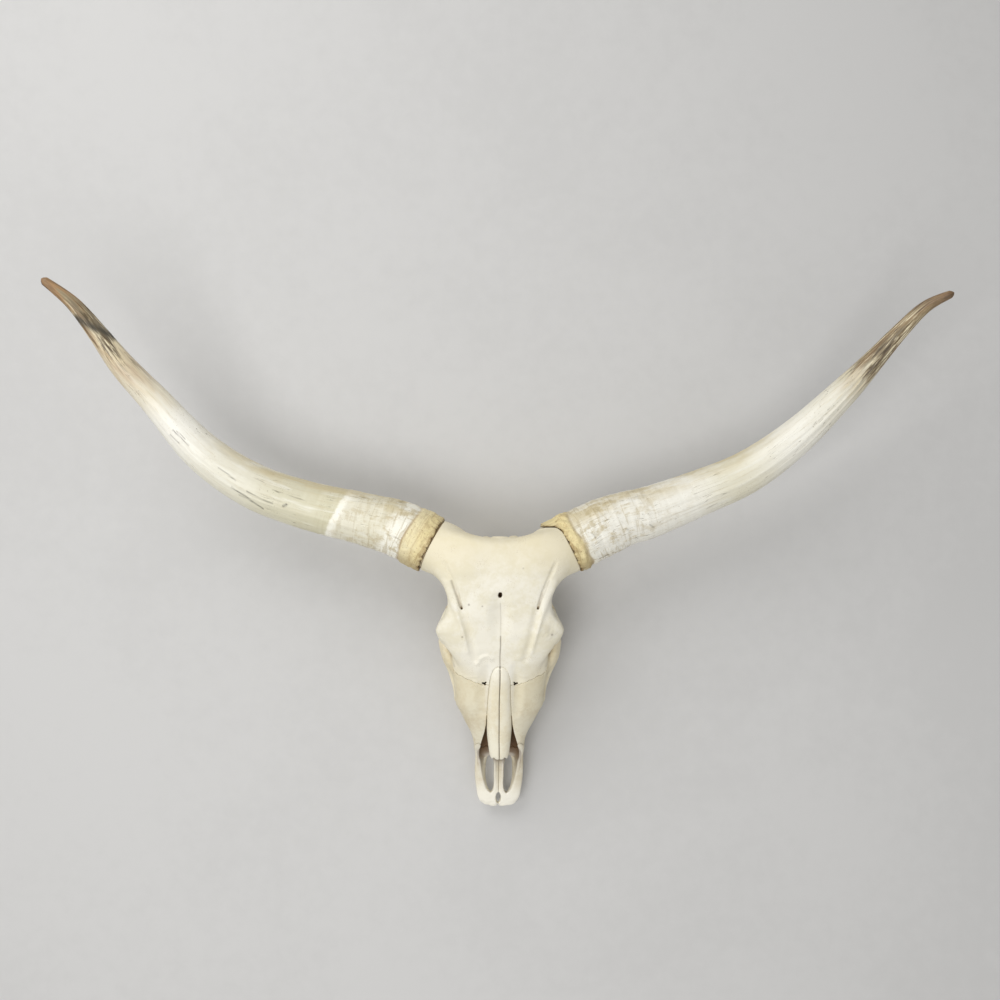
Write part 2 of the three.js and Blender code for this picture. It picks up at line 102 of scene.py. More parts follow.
BRAINCASE = [
    (14, 54, 118, 180, 66),
    (22, 76, 112, 196, 52),
    (48, 82, 108, 205, 48),
    (78, 72, 112, 200, 52),
    (110, 62, 116, 195, 56),
    (150, 56, 116, 185, 58),
    (192, 48, 112, 172, 58),
    (222, 40, 106, 160, 54),
]
NOSE_CAVITY = [
    (290, 14, 90, 112, 68),
    (304, 27, 84, 128, 48),
    (335, 36, 76, 122, 42),
    (364, 40, 68, 109, 41),
    (404, 42, 60, 94, 42),
    (450, 42, 60, 82, 42),
]
PALATE = [
    (222, 22, 20, 66, -20),
    (244, 30, 20, 44, -20),
    (290, 36, 18, 38, -20),
    (350, 31, 18, 38, -20),
    (396, 27, 18, 39, -20),
    (445, 25, 18, 40, -20),
]
NASALS = [
    (246, 9, 154, 167, 148),
    (250, 15, 152, 167, 146),
    (257, 18.5, 149, 165.5, 143),
    (272, 20.5, 142, 160.5, 136),
    (295, 22, 132, 151.5, 127),
    (325, 23.5, 120, 141, 115),
    (356, 24.5, 109, 131, 104),
    (385, 23.5, 99, 121, 96),
    (410, 21, 92, 112, 89),
    (428, 18.5, 88, 106, 86),
    (436, 15.5, 87, 101, 85),
]
MUZZLE = [
    (418, 48.5, 50, 79, 33),
    (434, 47.8, 48, 71, 32),
    (460, 48.5, 44, 60, 30),
    (482, 48, 40, 52, 28),
    (505, 45, 36, 46, 25),
    (523, 42, 32, 41, 22),
    (536, 36, 28, 36, 20),
    (543, 26, 26, 32, 20),
    (546, 15, 26, 30, 21),
]
# Sutures seen from the side: ahead, height
JAW_SUTURE = [(287, 240), (287, 190), (282, 128), (266, 102), (238, 70), (224, 52), (224, -12)]
MUZZLE_SUTURE = [(388, 160), (392, 140), (412, 72), (432, 20), (436, -12)]
JAW_SUTURE_SLOPE = 0.4  # how fast the suture over the face runs back towards the orbit
SEAM = 0.3  # gap between two bones
CHEEK = {"from": 96, "high": 125, "inner": 78}
# The opening of the nose: ahead and the height of its edge, then ahead and half its width
NOSE_WALL = [
    (346, 190),
    (350, 128),
    (366, 115),
    (384, 105),
    (404, 93),
    (418, 80),
    (430, 62),
    (440, 48),
    (470, 40),
]
NOSE_OPENING = [(343, 20), (348, 24), (366, 25.5), (384, 29), (404, 34.5), (422, 37.5), (450, 38), (470, 36)]
# The slot in the palate beside the midline: ahead and half its width, then ahead and the middle of it
PALATE_SLOT = [
    (438, 0),
    (441, 3.8),
    (447, 6.2),
    (457, 8.0),
    (470, 8.6),
    (492, 8.4),
    (505, 6.8),
    (513, 3.8),
    (517, 0),
]
PALATE_SLOT_MIDDLE = [(438, 18.5), (480, 18.5), (517, 15.5)]

# Horn centrelines from the rim of the sheath to the tip: out, back from the poll, up, radius
LEFT_HORN = [
    (127, -19, 150, 54),
    (189, 13, 146, 55.5),
    (236, 32, 143, 51.5),
    (284, 45, 142, 49),
    (378, 81, 144, 43.5),
    (469, 122, 156, 40),
    (555, 187, 182, 34),
    (634, 270, 222, 25.5),
    (679, 324, 250, 18.5),
    (715, 369, 274, 14),
    (753, 410, 297, 10.5),
    (795, 431, 318, 6.2),
]
RIGHT_HORN = [
    (129, -18, 150, 54),
    (189, 12, 146, 53.5),
    (245, 28, 143, 49.5),
    (284, 38, 142, 48),
    (378, 61, 143, 45.5),
    (469, 96, 155, 42.5),
    (555, 157, 182, 37),
    (633, 252, 225, 27.5),
    (680, 309, 253, 23),
    (717, 365, 278, 17),
    (754, 416, 303, 12),
    (801, 455, 322, 7),
]


# ---------------- where the skull lies in the frame


def poll_place():
    """Where the poll's origin lies in the frame, in metres."""
    left_high, right_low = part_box("cheekbone_left")[1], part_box("cheekbone_right")[0]
    nose_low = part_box("premaxilla_left")[0]
    return Vector(((left_high[0] + right_low[0]) / 2, nose_low[1] + NOSE_TIP * MM, 0.0))


POLL = poll_place()


# ---------------- curves through a few sizes


def spline_rows(rows, place):
    """Rows of numbers on a smooth curve through a table, at places counted from its first row."""
    rows = np.asarray(rows, float)
    place = np.atleast_1d(place)
    i = np.minimum(place.astype(int), len(rows) - 2)
    share = (place - i)[:, None]
    p, q, u, v = (rows[np.clip(i + n, 0, len(rows) - 1)] for n in (-1, 0, 1, 2))
    enter, leave, rise = (u - p) / 2, (v - q) / 2, u - q
    bend = 3 * rise - 2 * enter - leave
    twist = enter + leave - 2 * rise
    return q + share * (enter + share * (bend + share * twist))


def dense(rows, steps=8):
    """A table with more rows between its own, on the smooth curve through them."""
    return spline_rows(rows, np.linspace(0, len(rows) - 1, (len(rows) - 1) * steps + 1))


def smoothstep(low, high, value):
    """0 at one value and 1 at another, with an even rise between them."""
    share = np.clip((value - low) / (high - low), 0, 1)
    return share * share * (3 - 2 * share)


# ---------------- the field: signed distances on the left half

COUNTS = np.ceil((FIELD_HIGH - FIELD_LOW) / VOXEL).astype(int) + 1
XS, YS, ZS = (FIELD_LOW[n] + VOXEL * np.arange(COUNTS[n], dtype=np.float32) for n in range(3))
MARGIN = 23  # how far round a shape its distances are worked out
BOW_ROOM = 30  # and how much further before one whose sections bow
FAR = 60  # the distance that an empty field holds
HEART = 0.3  # within this share of a shape's size its depth is taken as even
HEART_DEPTH = 0.7  # that depth, as a share of the shape's smallest reach


def empty_field():
    return np.full(tuple(COUNTS), FAR, np.float32)


def block(low, high):
    """The part of the grid between two corners, as its slices and its open coordinates x, ahead and z."""
    low, high = (low[0], -high[1], low[2]), (high[0], -low[1], high[2])
    slices = []
    for n in range(3):
        first = int(np.clip(np.floor((low[n] - FIELD_LOW[n]) / VOXEL), 0, COUNTS[n] - 1))
        last = int(np.clip(np.ceil((high[n] - FIELD_LOW[n]) / VOXEL) + 1, first + 1, COUNTS[n]))
        slices.append(slice(first, last))
    x, y, z = XS[slices[0]], YS[slices[1]], ZS[slices[2]]
    return tuple(slices), x[:, None, None], -y[None, :, None], z[None, None, :]


def filled(away, *coordinates):
    """Distances spread over the whole of a block."""
    return np.broadcast_to(away, np.broadcast(*coordinates).shape).astype(np.float32)


def from_heart(radial, size, smallest):
    """Distance from a round shape's skin, by the distance from its middle and the share of its size there."""
    return np.where(size > HEART, radial * (1 - 1 / np.maximum(size, HEART)), -HEART_DEPTH * smallest)


def loft(table, above, below, grow=0.0):
    """A long body with superelliptic sections. above and below say how square their two halves are."""
    rows = dense([(*row, 0)[:6] for row in table])
    ahead_at = rows[:, 0]
    half_max = rows[:, 1].max()
    low = (0, rows[0, 0] - MARGIN - BOW_ROOM * (rows[:, 5].max() > 0), rows[:, 4].min() - MARGIN)
    high = (half_max + MARGIN, rows[-1, 0] + MARGIN, rows[:, 3].max() + MARGIN)
    slices, x, ahead, z = block(low, high)
    along = ahead + np.interp(ahead, ahead_at, rows[:, 5]) * (x / 100) ** 2
    half, widest, top, under = (
        np.interp(along, ahead_at, rows[:, n]).astype(np.float32) for n in range(1, 5)
    )
    rise = z - widest
    upper = rise > 0
    reach = np.where(upper, top - widest, widest - under) + grow
    power = np.where(upper, np.float32(above), np.float32(below))
    rise = np.abs(rise)
    size = (((x + 1e-3) / (half + grow)) ** power + (rise / reach) ** power) ** (1 / power)
    away = from_heart(np.sqrt(x * x + rise * rise), size, np.minimum(half, reach))
    ends = np.maximum(ahead_at[0] - grow - along, along - ahead_at[-1] - grow)
    return slices, np.maximum(away, ends).astype(np.float32)


def limb(knots, samples=14, flat="z"):
    """A tapering round limb along a smooth path of (x, ahead, z, half width, half height).

    The half height is measured along the axis named by flat, and it is the half width where it is left out.
    """
    rows = spline_rows([(*k, k[3])[:5] for k in knots], np.linspace(0, len(knots) - 1, samples + 1))
    reach = rows[:, 3:5].max(axis=1)[:, None] + MARGIN
    low, high = (rows[:, :3] - reach).min(axis=0), (rows[:, :3] + reach).max(axis=0)
    slices, x, ahead, z = block(low, high)
    nearest = None
    for a, b in zip(rows[:-1], rows[1:]):
        squash = (a[3] + b[3]) / (a[4] + b[4])
        scale = np.array([1, 1, squash] if flat == "z" else [1, squash, 1])
        step = (b[:3] - a[:3]) * scale
        d = [(part - a[n]) * scale[n] for n, part in enumerate((x, ahead, z))]
        share = (d[0] * step[0] + d[1] * step[1] + d[2] * step[2]) / (step @ step + 1e-9)
        share = np.clip(share, 0, 1).astype(np.float32)
        wide = a[3] + share * (b[3] - a[3])
        away = np.sqrt(sum((d[n] - share * step[n]) ** 2 for n in range(3))) - wide
        nearest = away if nearest is None else np.minimum(nearest, away)
    return slices, nearest.astype(np.float32)


def egg(centre, radii, turn=(0, 0, 0)):
    """An egg-shaped swelling or hollow at (x, ahead, z)."""
    reach = max(radii) + MARGIN
    slices, x, ahead, z = block([c - reach for c in centre], [c + reach for c in centre])
    about_x, about_y, about_z = (Matrix.Rotation(angle, 3, axis) for angle, axis in zip(turn, "XYZ"))
    back = np.array(about_z @ about_y @ about_x).T
    d = (x - centre[0], centre[1] - ahead, z - centre[2])
    local = [back[n, 0] * d[0] + back[n, 1] * d[1] + back[n, 2] * d[2] for n in range(3)]
    size = np.sqrt(sum((local[n] / radii[n]) ** 2 for n in range(3)))
    radial = np.sqrt(sum(part**2 for part in local))
    return slices, from_heart(radial, size, min(radii)).astype(np.float32)


def blend_min(a, b, soft):
    """The smaller of two distances, rounded off where they are nearly the same."""
    if soft <= 0:
        return np.minimum(a, b)
    near = np.maximum(soft - np.abs(a - b), 0)
    return np.minimum(a, b) - near * near / (4 * soft)


def join(field, shape, soft=6.0):
    """Add a shape to a field, with a fillet of about the given size."""
    slices, away = shape
    field[slices] = blend_min(field[slices], away, soft)


def carve(field, shape, soft=2.0):
    """Cut a shape out of a field, with its edges rounded by about the given size."""
    slices, away = shape
    field[slices] = -blend_min(-field[slices], away, soft)


def top_of(field, x, ahead):
    """The height of a field's upper surface over one place."""
    column = field[int(round((x - FIELD_LOW[0]) / VOXEL)), int(round((-ahead - FIELD_LOW[1]) / VOXEL))]
    k = np.flatnonzero(column < 0)[-1]
    return ZS[k] + VOXEL * column[k] / (column[k] - column[k + 1])


def groove(field, places, soft):
    """A groove along the upper surface, through places given as (x, ahead, depth, radius)."""
    knots = []
    for x, ahead, depth, radius in places:
        knots.append((x, ahead, top_of(field, x, ahead) + radius - depth, radius))
    carve(field, limb(knots, 24), soft)


def ridge(field, places, soft):
    """A ridge along the upper surface, through places given as (x, ahead, height, radius)."""
    knots = []
    for x, ahead, height, radius in places:
        knots.append((x, ahead, top_of(field, x, ahead) - radius + height, radius))
    join(field, limb(knots, 24), soft)


# ---------------- skin over a field

CELL_CORNERS = [(i, j, k) for i in (0, 1) for j in (0, 1) for k in (0, 1)]


def skin_of(field, corner, ease=2):
    """Points and four-sided faces of the surface where a field is zero, eased a little."""
    inside = field < 0
    cells = np.zeros(tuple(n - 1 for n in field.shape), np.uint8)
    for i, j, k in CELL_CORNERS:
        cells += inside[i : i + cells.shape[0], j : j + cells.shape[1], k : k + cells.shape[2]]
    mixed = (cells > 0) & (cells < 8)
    number = np.full(cells.shape, -1, np.int64)
    where = np.argwhere(mixed)
    number[mixed] = np.arange(len(where))
    points = crossings(field, where) * VOXEL + corner
    faces = faces_between(inside, number)
    return eased(points, faces, ease), faces


def crossings(field, where):
    """The mean of the places where a field changes sign along the edges of each given cell."""
    total, hits = np.zeros((len(where), 3)), np.zeros(len(where))
    for a in CELL_CORNERS:
        for axis in range(3):
            if a[axis]:
                continue
            b = tuple(1 if n == axis else a[n] for n in range(3))
            at_a = field[tuple((where + a).T)]
            at_b = field[tuple((where + b).T)]
            crossed = (at_a < 0) != (at_b < 0)
            share = np.where(crossed, at_a / np.where(crossed, at_a - at_b, 1), 0)
            point = np.array(a) + share[:, None] * (np.array(b) - np.array(a))
            total += point * crossed[:, None]
            hits += crossed
    return where + total / hits[:, None]


def faces_between(inside, number):
    """A face across each edge of the grid that enters or leaves the inside, turned outward."""
    faces = []
    for axis in range(3):
        one, two = [n for n in range(3) if n != axis]
        here = [slice(1, -1)] * 3
        here[axis] = slice(0, -1)
        there = list(here)
        there[axis] = slice(1, None)
        a, b = inside[tuple(here)], inside[tuple(there)]
        for entering in (False, True):
            edge = np.argwhere((a != b) & (b == entering)) + [0 if n == axis else 1 for n in range(3)]
            around = []
            for back_one, back_two in ((0, 0), (1, 0), (1, 1), (0, 1)):
                cell = edge.copy()
                cell[:, one] -= back_one
                cell[:, two] -= back_two
                around.append(number[tuple(cell.T)])
            quad = np.stack(around, axis=1)
            outward = entering == (axis == 1)
            faces.append(quad if outward else quad[:, ::-1])
    return np.concatenate(faces)


def eased(points, faces, rounds):
    """Points drawn towards their neighbours and back out again, so that steps fade and volume stays."""
    ends = np.concatenate([faces[:, [n, (n + 1) % 4]] for n in range(4)])
    ends = np.concatenate([ends, ends[:, ::-1]])
    count = np.bincount(ends[:, 0], minlength=len(points))[:, None]
    for _ in range(rounds):
        for pull in (0.5, -0.52):
            sums = [np.bincount(ends[:, 0], points[ends[:, 1], n], len(points)) for n in range(3)]
            points = points + pull * (np.stack(sums, axis=1) / count - points)
    return points


def whole_head(field):
    """Both halves of a field, and the corner that it starts from."""
    both = np.concatenate([field[:0:-1], field])
    return both, np.array([-(len(XS) - 1) * VOXEL, FIELD_LOW[1], FIELD_LOW[2]])


def trimmed(field, corner, room=3):
    """The part of a field that holds anything."""
    held = field < 0
    cut, start = [], []
    for axis in range(3):
        line = np.flatnonzero(held.any(axis=tuple(n for n in range(3) if n != axis)))
        first, last = max(line[0] - room, 0), min(line[-1] + room + 1, field.shape[axis])
        cut.append(slice(first, last))
        start.append(first * VOXEL)
    return field[tuple(cut)], corner + np.array(start)


# ---------------- the head as one field

TOOTH_ROW_FRONT = 368
TOOTH_LENGTHS = [19, 20, 20, 24, 26, 27]
TOOTH_WIDTHS = [17, 20, 22, 25, 26, 23]
TOOTH_INSETS = [49, 54, 58, 61, 62, 59]  # the midline to the middle of each tooth
TOOTH_OVERLAP = 0.6
GUM_HEIGHT = 21.5
RIM = np.array([128, 18.5, 150])  # middle of a horn's rim: out, ahead, up
RIM_ALONG = np.array([0.889, -0.456, -0.045])  # the way the horn leaves it
CORE_RADIUS = 44
CORE_DEPTH = 15
UNDERSIDE = 0.3  # height of the lowest bone over the floor


def beyond_rim(reach, radius, behind):
    """A straight round plug through a horn's rim."""
    slices, x, ahead, z = block((60, -50, 70), (172, 110, 230))
    d = (x - RIM[0], ahead - RIM[1], z - RIM[2])
    along = sum(d[n] * RIM_ALONG[n] for n in range(3))
    across = np.sqrt(np.maximum(sum(part**2 for part in d) - along**2, 0))
    away = np.maximum(across - radius, np.maximum(-behind - along, along - reach))
    return slices, away.astype(np.float32)


def head_field():
    """The left half of the head without its nasal bone and muzzle."""
    field = empty_field()
    shape_case(field)
    shape_cheek_and_orbit(field)
    shape_back_of_head(field)
    shape_forehead(field)
    shape_upper_jaw(field)
    open_nose_and_palate(field)
    return field


def shape_case(field):
    """The forehead, braincase and face, the root of the horn and the hollow of the temple."""
    join(field, loft(FOREHEAD, 3.2, 2), 0)
    join(field, loft(BRAINCASE, 2.4, 2.4), 10)
    join(field, loft(FACE, 2.6, 2.6), 7)
    horn_root = [(58, 46, 172, 38, 40), (98, 30, 162, 50, 50), (*RIM, 52, 52), (150, 7, 149, 52, 52)]
    join(field, limb(horn_root, 30), 22)
    carve(field, egg((98, 98, 132), (24, 42, 23), (0, 0, 0.1)), 8)
    carve(field, egg((82, 136, 124), (26, 32, 24)), 6)


def shape_cheek_and_orbit(field):
    """The cheekbone with its arch and the post behind the orbit, then the orbit and its raised rim."""
    arch = [
        (74, 264, 84, 18, 20),
        (97, 238, 98, 13, 20),
        (106, 208, 107, 10, 14),
        (108, 178, 108, 8, 10),
        (99, 150, 108, 7, 11),
        (92, 120, 113, 6, 9),
        (85, 92, 116, 8, 9),
        (66, 70, 114, 17, 11),
    ]
    join(field, limb(arch, 24), 7)
    face_crest = [(86, 322, 72, 3), (95, 275, 84, 3.5), (108, 236, 98, 4), (115, 205, 108, 3)]
    join(field, limb(face_crest, 14), 7)
    join(field, limb([(94, 145, 168, 8, 12), (97, 146, 140, 6, 8), (98, 150, 110, 8, 10)], 10), 7)
    join(field, egg((98, 152, 106), (9, 16, 9)), 6)
    rim = []
    for turn in np.linspace(0, 2 * math.pi, 25):
        up, fore = math.sin(turn), math.cos(turn)
        out = 100 + 3.5 * fore + 6 * (1 - fore * fore) + 4 * up
        rim.append((out, 172 + 31 * fore, 139 + 29 * up, 5.0))
    join(field, limb(rim, 36), 6)
    carve(field, egg((126, 172, 139), (66, 29, 27), (0, 0.12, 0.16)), 3)
    carve(field, egg((62, 176, 136), (14, 16, 13)), 6)


def shape_back_of_head(field):
    """The condyles and processes round the hole for the spinal cord, the base and the crests of the nape."""
    # the condyle, the bone between the two and the spike beside it
    join(field, egg((27, 25, 40), (19.5, 21, 24), (0.3, 0, -0.5)), 5)
    join(field, egg((12, 34, 34), (14, 18, 14)), 8)
    beside_condyle = [(60, 44, 92, 13, 16), (56, 44, 46, 9, 15), (50, 48, 4, 5, 9)]
    join(field, limb(beside_condyle, 12, "y"), 6)
    # the capsule of the ear with its spike, then the base of the skull down to the hooks beside the throat
    join(field, egg((40, 88, 48), (13, 20, 20), (0.3, 0, 0)), 4)
    join(field, limb([(40, 92, 40, 7), (41, 104, 26, 3)], 4), 4)
    base = [(0, 26, 44, 20, 13), (0, 70, 50, 22, 12), (0, 130, 52, 14, 12), (0, 225, 58, 12, 14)]
    join(field, limb(base, 12), 7)
    join(field, egg((11, 74, 40), (8, 12, 6)), 5)
    beside_throat = [(19, 150, 62, 5, 10), (24, 190, 46, 4.5, 20), (27, 234, 38, 6, 20)]
    join(field, limb(beside_throat, 24), 5)
    join(field, limb([(29, 226, 22, 2.5, 5), (31, 222, 10, 2, 3)], 4), 3)
    # the bony tube of the ear, then the ridge and crest of the nape with the hollows for its muscles
    join(field, limb([(52, 70, 84, 9), (90, 62, 94, 8)], 6), 7)
    carve(field, egg((96, 61, 92), (14, 4.5, 4.5)), 2)
    join(field, limb([(0, 11, 196, 9, 8), (0, 12, 150, 7, 7), (0, 13, 112, 11, 8)], 8, "y"), 9)
    crest = [(0, 10, 194, 5), (36, 8, 192, 5), (60, 7, 184, 5), (80, 9, 170, 4), (96, 14, 156, 3)]
    join(field, limb(crest, 14), 14)
    carve(field, egg((31, 2, 156), (26, 8, 26)), 16)
    carve(field, egg((27, 5, 112), (20, 6, 24)), 12)
    spinal_hole = egg((0, 11, 60), (16.5, 33, 18.5), (0.25, 0, 0))
    carve(field, spinal_hole, 3)


def shape_forehead(field):
    """The long hollow between the orbits, the grooves and ridges beside it and the hole on the midline."""
    carve(field, egg((0, 190, 262), (40, 110, 70)), 12)
    over_orbit = [(98, 84, 0.6, 8), (88, 112, 1.8, 8), (80, 138, 3.0, 7), (68, 174, 3.4, 6.5)]
    ridge(field, [*over_orbit, (57, 214, 2.0, 6)], 6)
    groove(field, [(70, 138, 2.0, 8), (58, 184, 3.0, 7.5), (48, 234, 2.2, 7.5)], 6)
    groove(field, [(104, 50, 0.4, 6), (90, 80, 1.8, 5), (80, 106, 2.8, 4.2), (74, 127, 4.0, 3.4)], 2.5)
    carve(field, limb([(73.5, 127, 205, 2.6), (70, 138, 194, 2.2), (66, 146, 184, 2)], 6), 1.5)
    groove(field, [(28, 256, 0.6, 12), (32, 280, 3.2, 15), (34, 312, 3.6, 16), (33, 344, 2.0, 14)], 6)
    midline_hole = egg((0.4, 106.6, 217), (3.7, 5.6, 26))
    carve(field, midline_hole, 1)


def shape_upper_jaw(field):
    """The part of the jaw that holds the cheek teeth, the hollow before it and the hole in its side."""
    sockets = [(47, 374, 38, 10, 12), (56, 330, 39, 14, 20), (61, 285, 41, 15, 23), (59, 238, 45, 12, 22)]
    join(field, limb(sockets, 14), 9)
    for ahead, inset, width in tooth_places():
        join(field, egg((inset + width / 2 - 4, ahead, 42), (7, 9, 24)), 6)
    carve(field, gum_line(), 4)
    carve(field, egg((96, 290, 58), (16, 34, 17)), 10)
    carve(field, egg((66, 392, 66), (15, 24, 15)), 12)
    carve(field, limb([(64, 384, 62, 3.4), (54, 366, 62, 4.6), (44, 350, 62, 4)], 8), 2)


def open_nose_and_palate(field):
    """The room of the nose with its middle wall, the arched palate and the gap beside the nasal bone."""
    carve(field, loft(NOSE_CAVITY, 2.3, 3), 2)
    carve(field, loft(PALATE, 2.5, 2), 4)
    carve(field, egg((20, 262, 42), (2.6, 4.5, 9)), 2)
    carve(field, limb([(0, 212, 44, 15, 13), (0, 250, 47, 13, 9)], 5), 4)
    carve(field, nose_wall(), 3)
    join(field, limb([(0, 290, 50, 3, 8), (0, 430, 44, 2.6, 6)], 6), 4)
    carve(field, star_hole(), 1.2)


def tooth_places():
    """Each cheek tooth's middle, inset and width, from the front."""
    front, places = TOOTH_ROW_FRONT, []
    for length, inset, width in zip(TOOTH_LENGTHS, TOOTH_INSETS, TOOTH_WIDTHS):
        places.append((front - length / 2, inset, width))
        front -= length - TOOTH_OVERLAP
    return places


def gum_line():
    """The space under the edge of the jaw, which dips a little between the teeth."""
    slices, x, ahead, z = block((34, 222, -4), (92, 374, 34))
    dip = 1.4 * np.cos(2 * math.pi * (ahead - TOOTH_ROW_FRONT) / 22) + 0.5 * np.sin(x * 0.5 + ahead * 0.31)
    return slices, filled(z - GUM_HEIGHT - dip, x, ahead, z)


def nose_wall():
    """The opening of the nose beside the nasal bones, and the space over its side walls."""
    slices, x, ahead, z = block((0, 338, 40), (72, 470, 200))
    wall = np.interp(ahead, *zip(*NOSE_WALL))
    edge = np.interp(ahead, *zip(*NOSE_OPENING))
    above = np.maximum(0.6 * (wall - z), np.maximum(x - 70, 348 - ahead))
    between = np.maximum(0.9 * (x - edge), np.maximum(0.5 * (66 - z), 344 - ahead))
    return slices, filled(np.minimum(above, between), x, ahead, z)


def star_hole():
    """The three-armed gap where the nasal bone, the forehead and the upper jaw meet."""
    slices, x, ahead, z = block((14, 262, 110), (46, 302, 190))
    dx, dy = x - 29, ahead - 281
    size, turn = np.sqrt(dx * dx + dy * dy), np.arctan2(dy, dx)
    reach = 2.7 + 2.1 * np.cos(3 * turn + 0.6) + 0.8 * np.cos(2 * turn)
    return slices, filled(size - reach, x, ahead, z)


def muzzle_field():
    """The left premaxilla: a flat blade with a slot, hollowed from the nose behind."""
    field = empty_field()
    join(field, loft(MUZZLE, 2.6, 3), 0)
    slices, x, ahead, z = block((0, 430, 0), (60, 556, 90))
    half = np.interp(ahead, *zip(*PALATE_SLOT))
    middle = np.interp(ahead, *zip(*PALATE_SLOT_MIDDLE))
    ends = np.maximum(PALATE_SLOT[0][0] - ahead, ahead - PALATE_SLOT[-1][0])
    carve(field, (slices, filled(np.maximum(np.abs(x - middle) - half, ends), x, ahead, z)), 3)
    nose_end = [*NOSE_CAVITY[2:5], (432, 40, 60, 86, 42), (452, 38, 70, 84, 57), (472, 32, 74, 82, 68)]
    carve(field, loft(nose_end, 2.3, 3), 3)
    over_slot = [(25, 408, 66, 13, 21), (25, 430, 63, 13, 21), (23, 478, 61, 12, 22), (20, 506, 54, 8, 14)]
    carve(field, limb(over_slot, 12), 5)
    over_middle = [(0, 406, 78, 12, 14), (0, 428, 74, 12, 14), (0, 480, 62, 9, 12), (0, 512, 52, 6, 8)]
    carve(field, limb(over_middle, 10), 4)
    inner_bar = [(5, 414, 44, 3.4, 7), (5, 432, 44, 3.4, 7), (4.5, 480, 36, 3.2, 7), (4.5, 514, 30, 4, 6)]
    join(field, limb(inner_bar, 10), 3)
    carve(field, egg((0, 527, 36), (5.2, 12.5, 26)), 2)
    carve(field, egg((0, 548, 38), (2.2, 10, 20)), 4)
    return field


def nasal_field():
    """The left nasal bone: a long vault with a notched tip."""
    field = empty_field()
    join(field, loft(NASALS, 2.7, 5), 0)
    groove(field, [(0, 250, 0.3, 1.8), (0, 300, 0.7, 1.8), (0, 380, 0.7, 1.8), (0, 430, 0.5, 1.8)], 0.8)
    carve(field, loft(NOSE_CAVITY, 2.3, 3), 2)
    carve(field, limb([(0, 330, 103, 12, 9), (0, 440, 76, 15, 14)], 8), 4)
    carve(field, egg((10.5, 441, 96), (3.4, 9, 20)), 3)
    return field


# ---------------- sutures


def suture(line, wander, face_slope=0.0):
    """How far ahead of a suture, seen from the side as (ahead, height), each point of the grid lies.

    face_slope is how fast the suture runs back towards the orbit where it crosses the upper face.
    """
    x, ahead, z = XS[:, None, None], -YS[None, :, None], ZS[None, None, :]
    heights, places = zip(*sorted((height, place) for place, height in line))
    at = np.interp(z, heights, places)
    slope = np.gradient(np.interp(ZS, heights, places), VOXEL)[None, None, :]
    wave = wander * (np.sin(x * 0.42) + 0.6 * np.sin(x * 0.91 + z * 0.5 + 1))
    wave = wave - face_slope * np.maximum(x - 36, 0) * smoothstep(104, 126, z)
    return ((ahead - at - wave) / np.sqrt(1 + slope**2)).astype(np.float32)


# ---------------- marks that the meshes carry


def boxed_mean(volume, reach):
    """The mean of a volume in a box round each point, reach points each way. x is mirrored at the midline."""
    out = volume
    for axis in range(3):
        if axis == 0:
            padded = np.concatenate([out[reach + 1 : 0 : -1], out, np.repeat(out[-1:], reach, axis=0)])
        else:
            pad = [(0, 0)] * 3
            pad[axis] = (reach + 1, reach)
            padded = np.pad(out, pad, mode="edge")
        total = np.cumsum(padded, axis=axis, dtype=np.float32)
        later, earlier = [slice(None)] * 3, [slice(None)] * 3
        later[axis], earlier[axis] = slice(2 * reach + 1, None), slice(0, -2 * reach - 1)
        out = (total[tuple(later)] - total[tuple(earlier)]) / (2 * reach + 1)
    return out


def sampled(volume, points):
    """The volume's value at each point, by the eight points of the grid round it."""
    place = (np.abs(points * [1, 0, 0]) + points * [0, 1, 1] - FIELD_LOW) / VOXEL
    place = np.clip(place, 0, np.array(volume.shape) - 1.001)
    low = place.astype(int)
    part = place - low
    value = 0
    for corner in CELL_CORNERS:
        weight = np.prod(np.where(corner, part, 1 - part), axis=1)
        value = value + weight * volume[tuple((low + corner).T)]
    return value


def line_mark(points, line, width):
    """1 on a line of (x, ahead) points seen from above, falling to 0 at its width."""
    nearest = np.full(len(points), 1e9)
    p = points[:, :2] * [1, -1]
    for a, b in zip(np.array(line[:-1], float), np.array(line[1:], float)):
        step = b - a
        share = np.clip(((p - a) @ step) / (step @ step), 0, 1)
        nearest = np.minimum(nearest, np.hypot(*(p - a - share[:, None] * step).T))
    return np.clip(1 - nearest / width, 0, 1)


def wavy(points, scales, seed):
    """Smooth numbers between about -1 and 1 that drift from place to place."""
    local = np.random.default_rng(seed)
    value = np.zeros(len(points))
    for scale in scales:
        for _ in range(3):
            way = local.normal(size=3)
            way *= 2 * math.pi / scale / np.linalg.norm(way)
            value += np.sin(points @ way + local.uniform(0, 2 * math.pi))
    return value / math.sqrt(3 * len(scales))


def as_lived(points):
    """The small unevenness of a real head, and the lean of its nose."""
    warp = np.stack([wavy(points, (190, 95), seed) for seed in (3, 4, 5)], axis=1)
    out = points + warp * [0.8, 0.8, 0.5] * smoothstep(0, 14, points[:, 2])[:, None]
    dents = 0.22 * wavy(points, (46, 21), 6)
    for path, width, height in BUMP_LINES:
        mark = line_mark(points, path, width)
        dents = dents + height * mark * mark * (3 - 2 * mark)
    out[:, 2] += dents * smoothstep(128, 150, points[:, 2])
    out[:, 1] += 0.8 * wavy(points, (15, 8), 9) * smoothstep(518, 540, -points[:, 1])
    out[:, 0] -= NOSE_LEAN * np.maximum(-points[:, 1] - LEAN_FROM, 0)
    return out


# ---------------- meshes in the frame


def shown(name, data):
    """A new object in the scene."""
    thing = bpy.data.objects.new(name, data)
    bpy.context.scene.collection.objects.link(thing)
    return thing


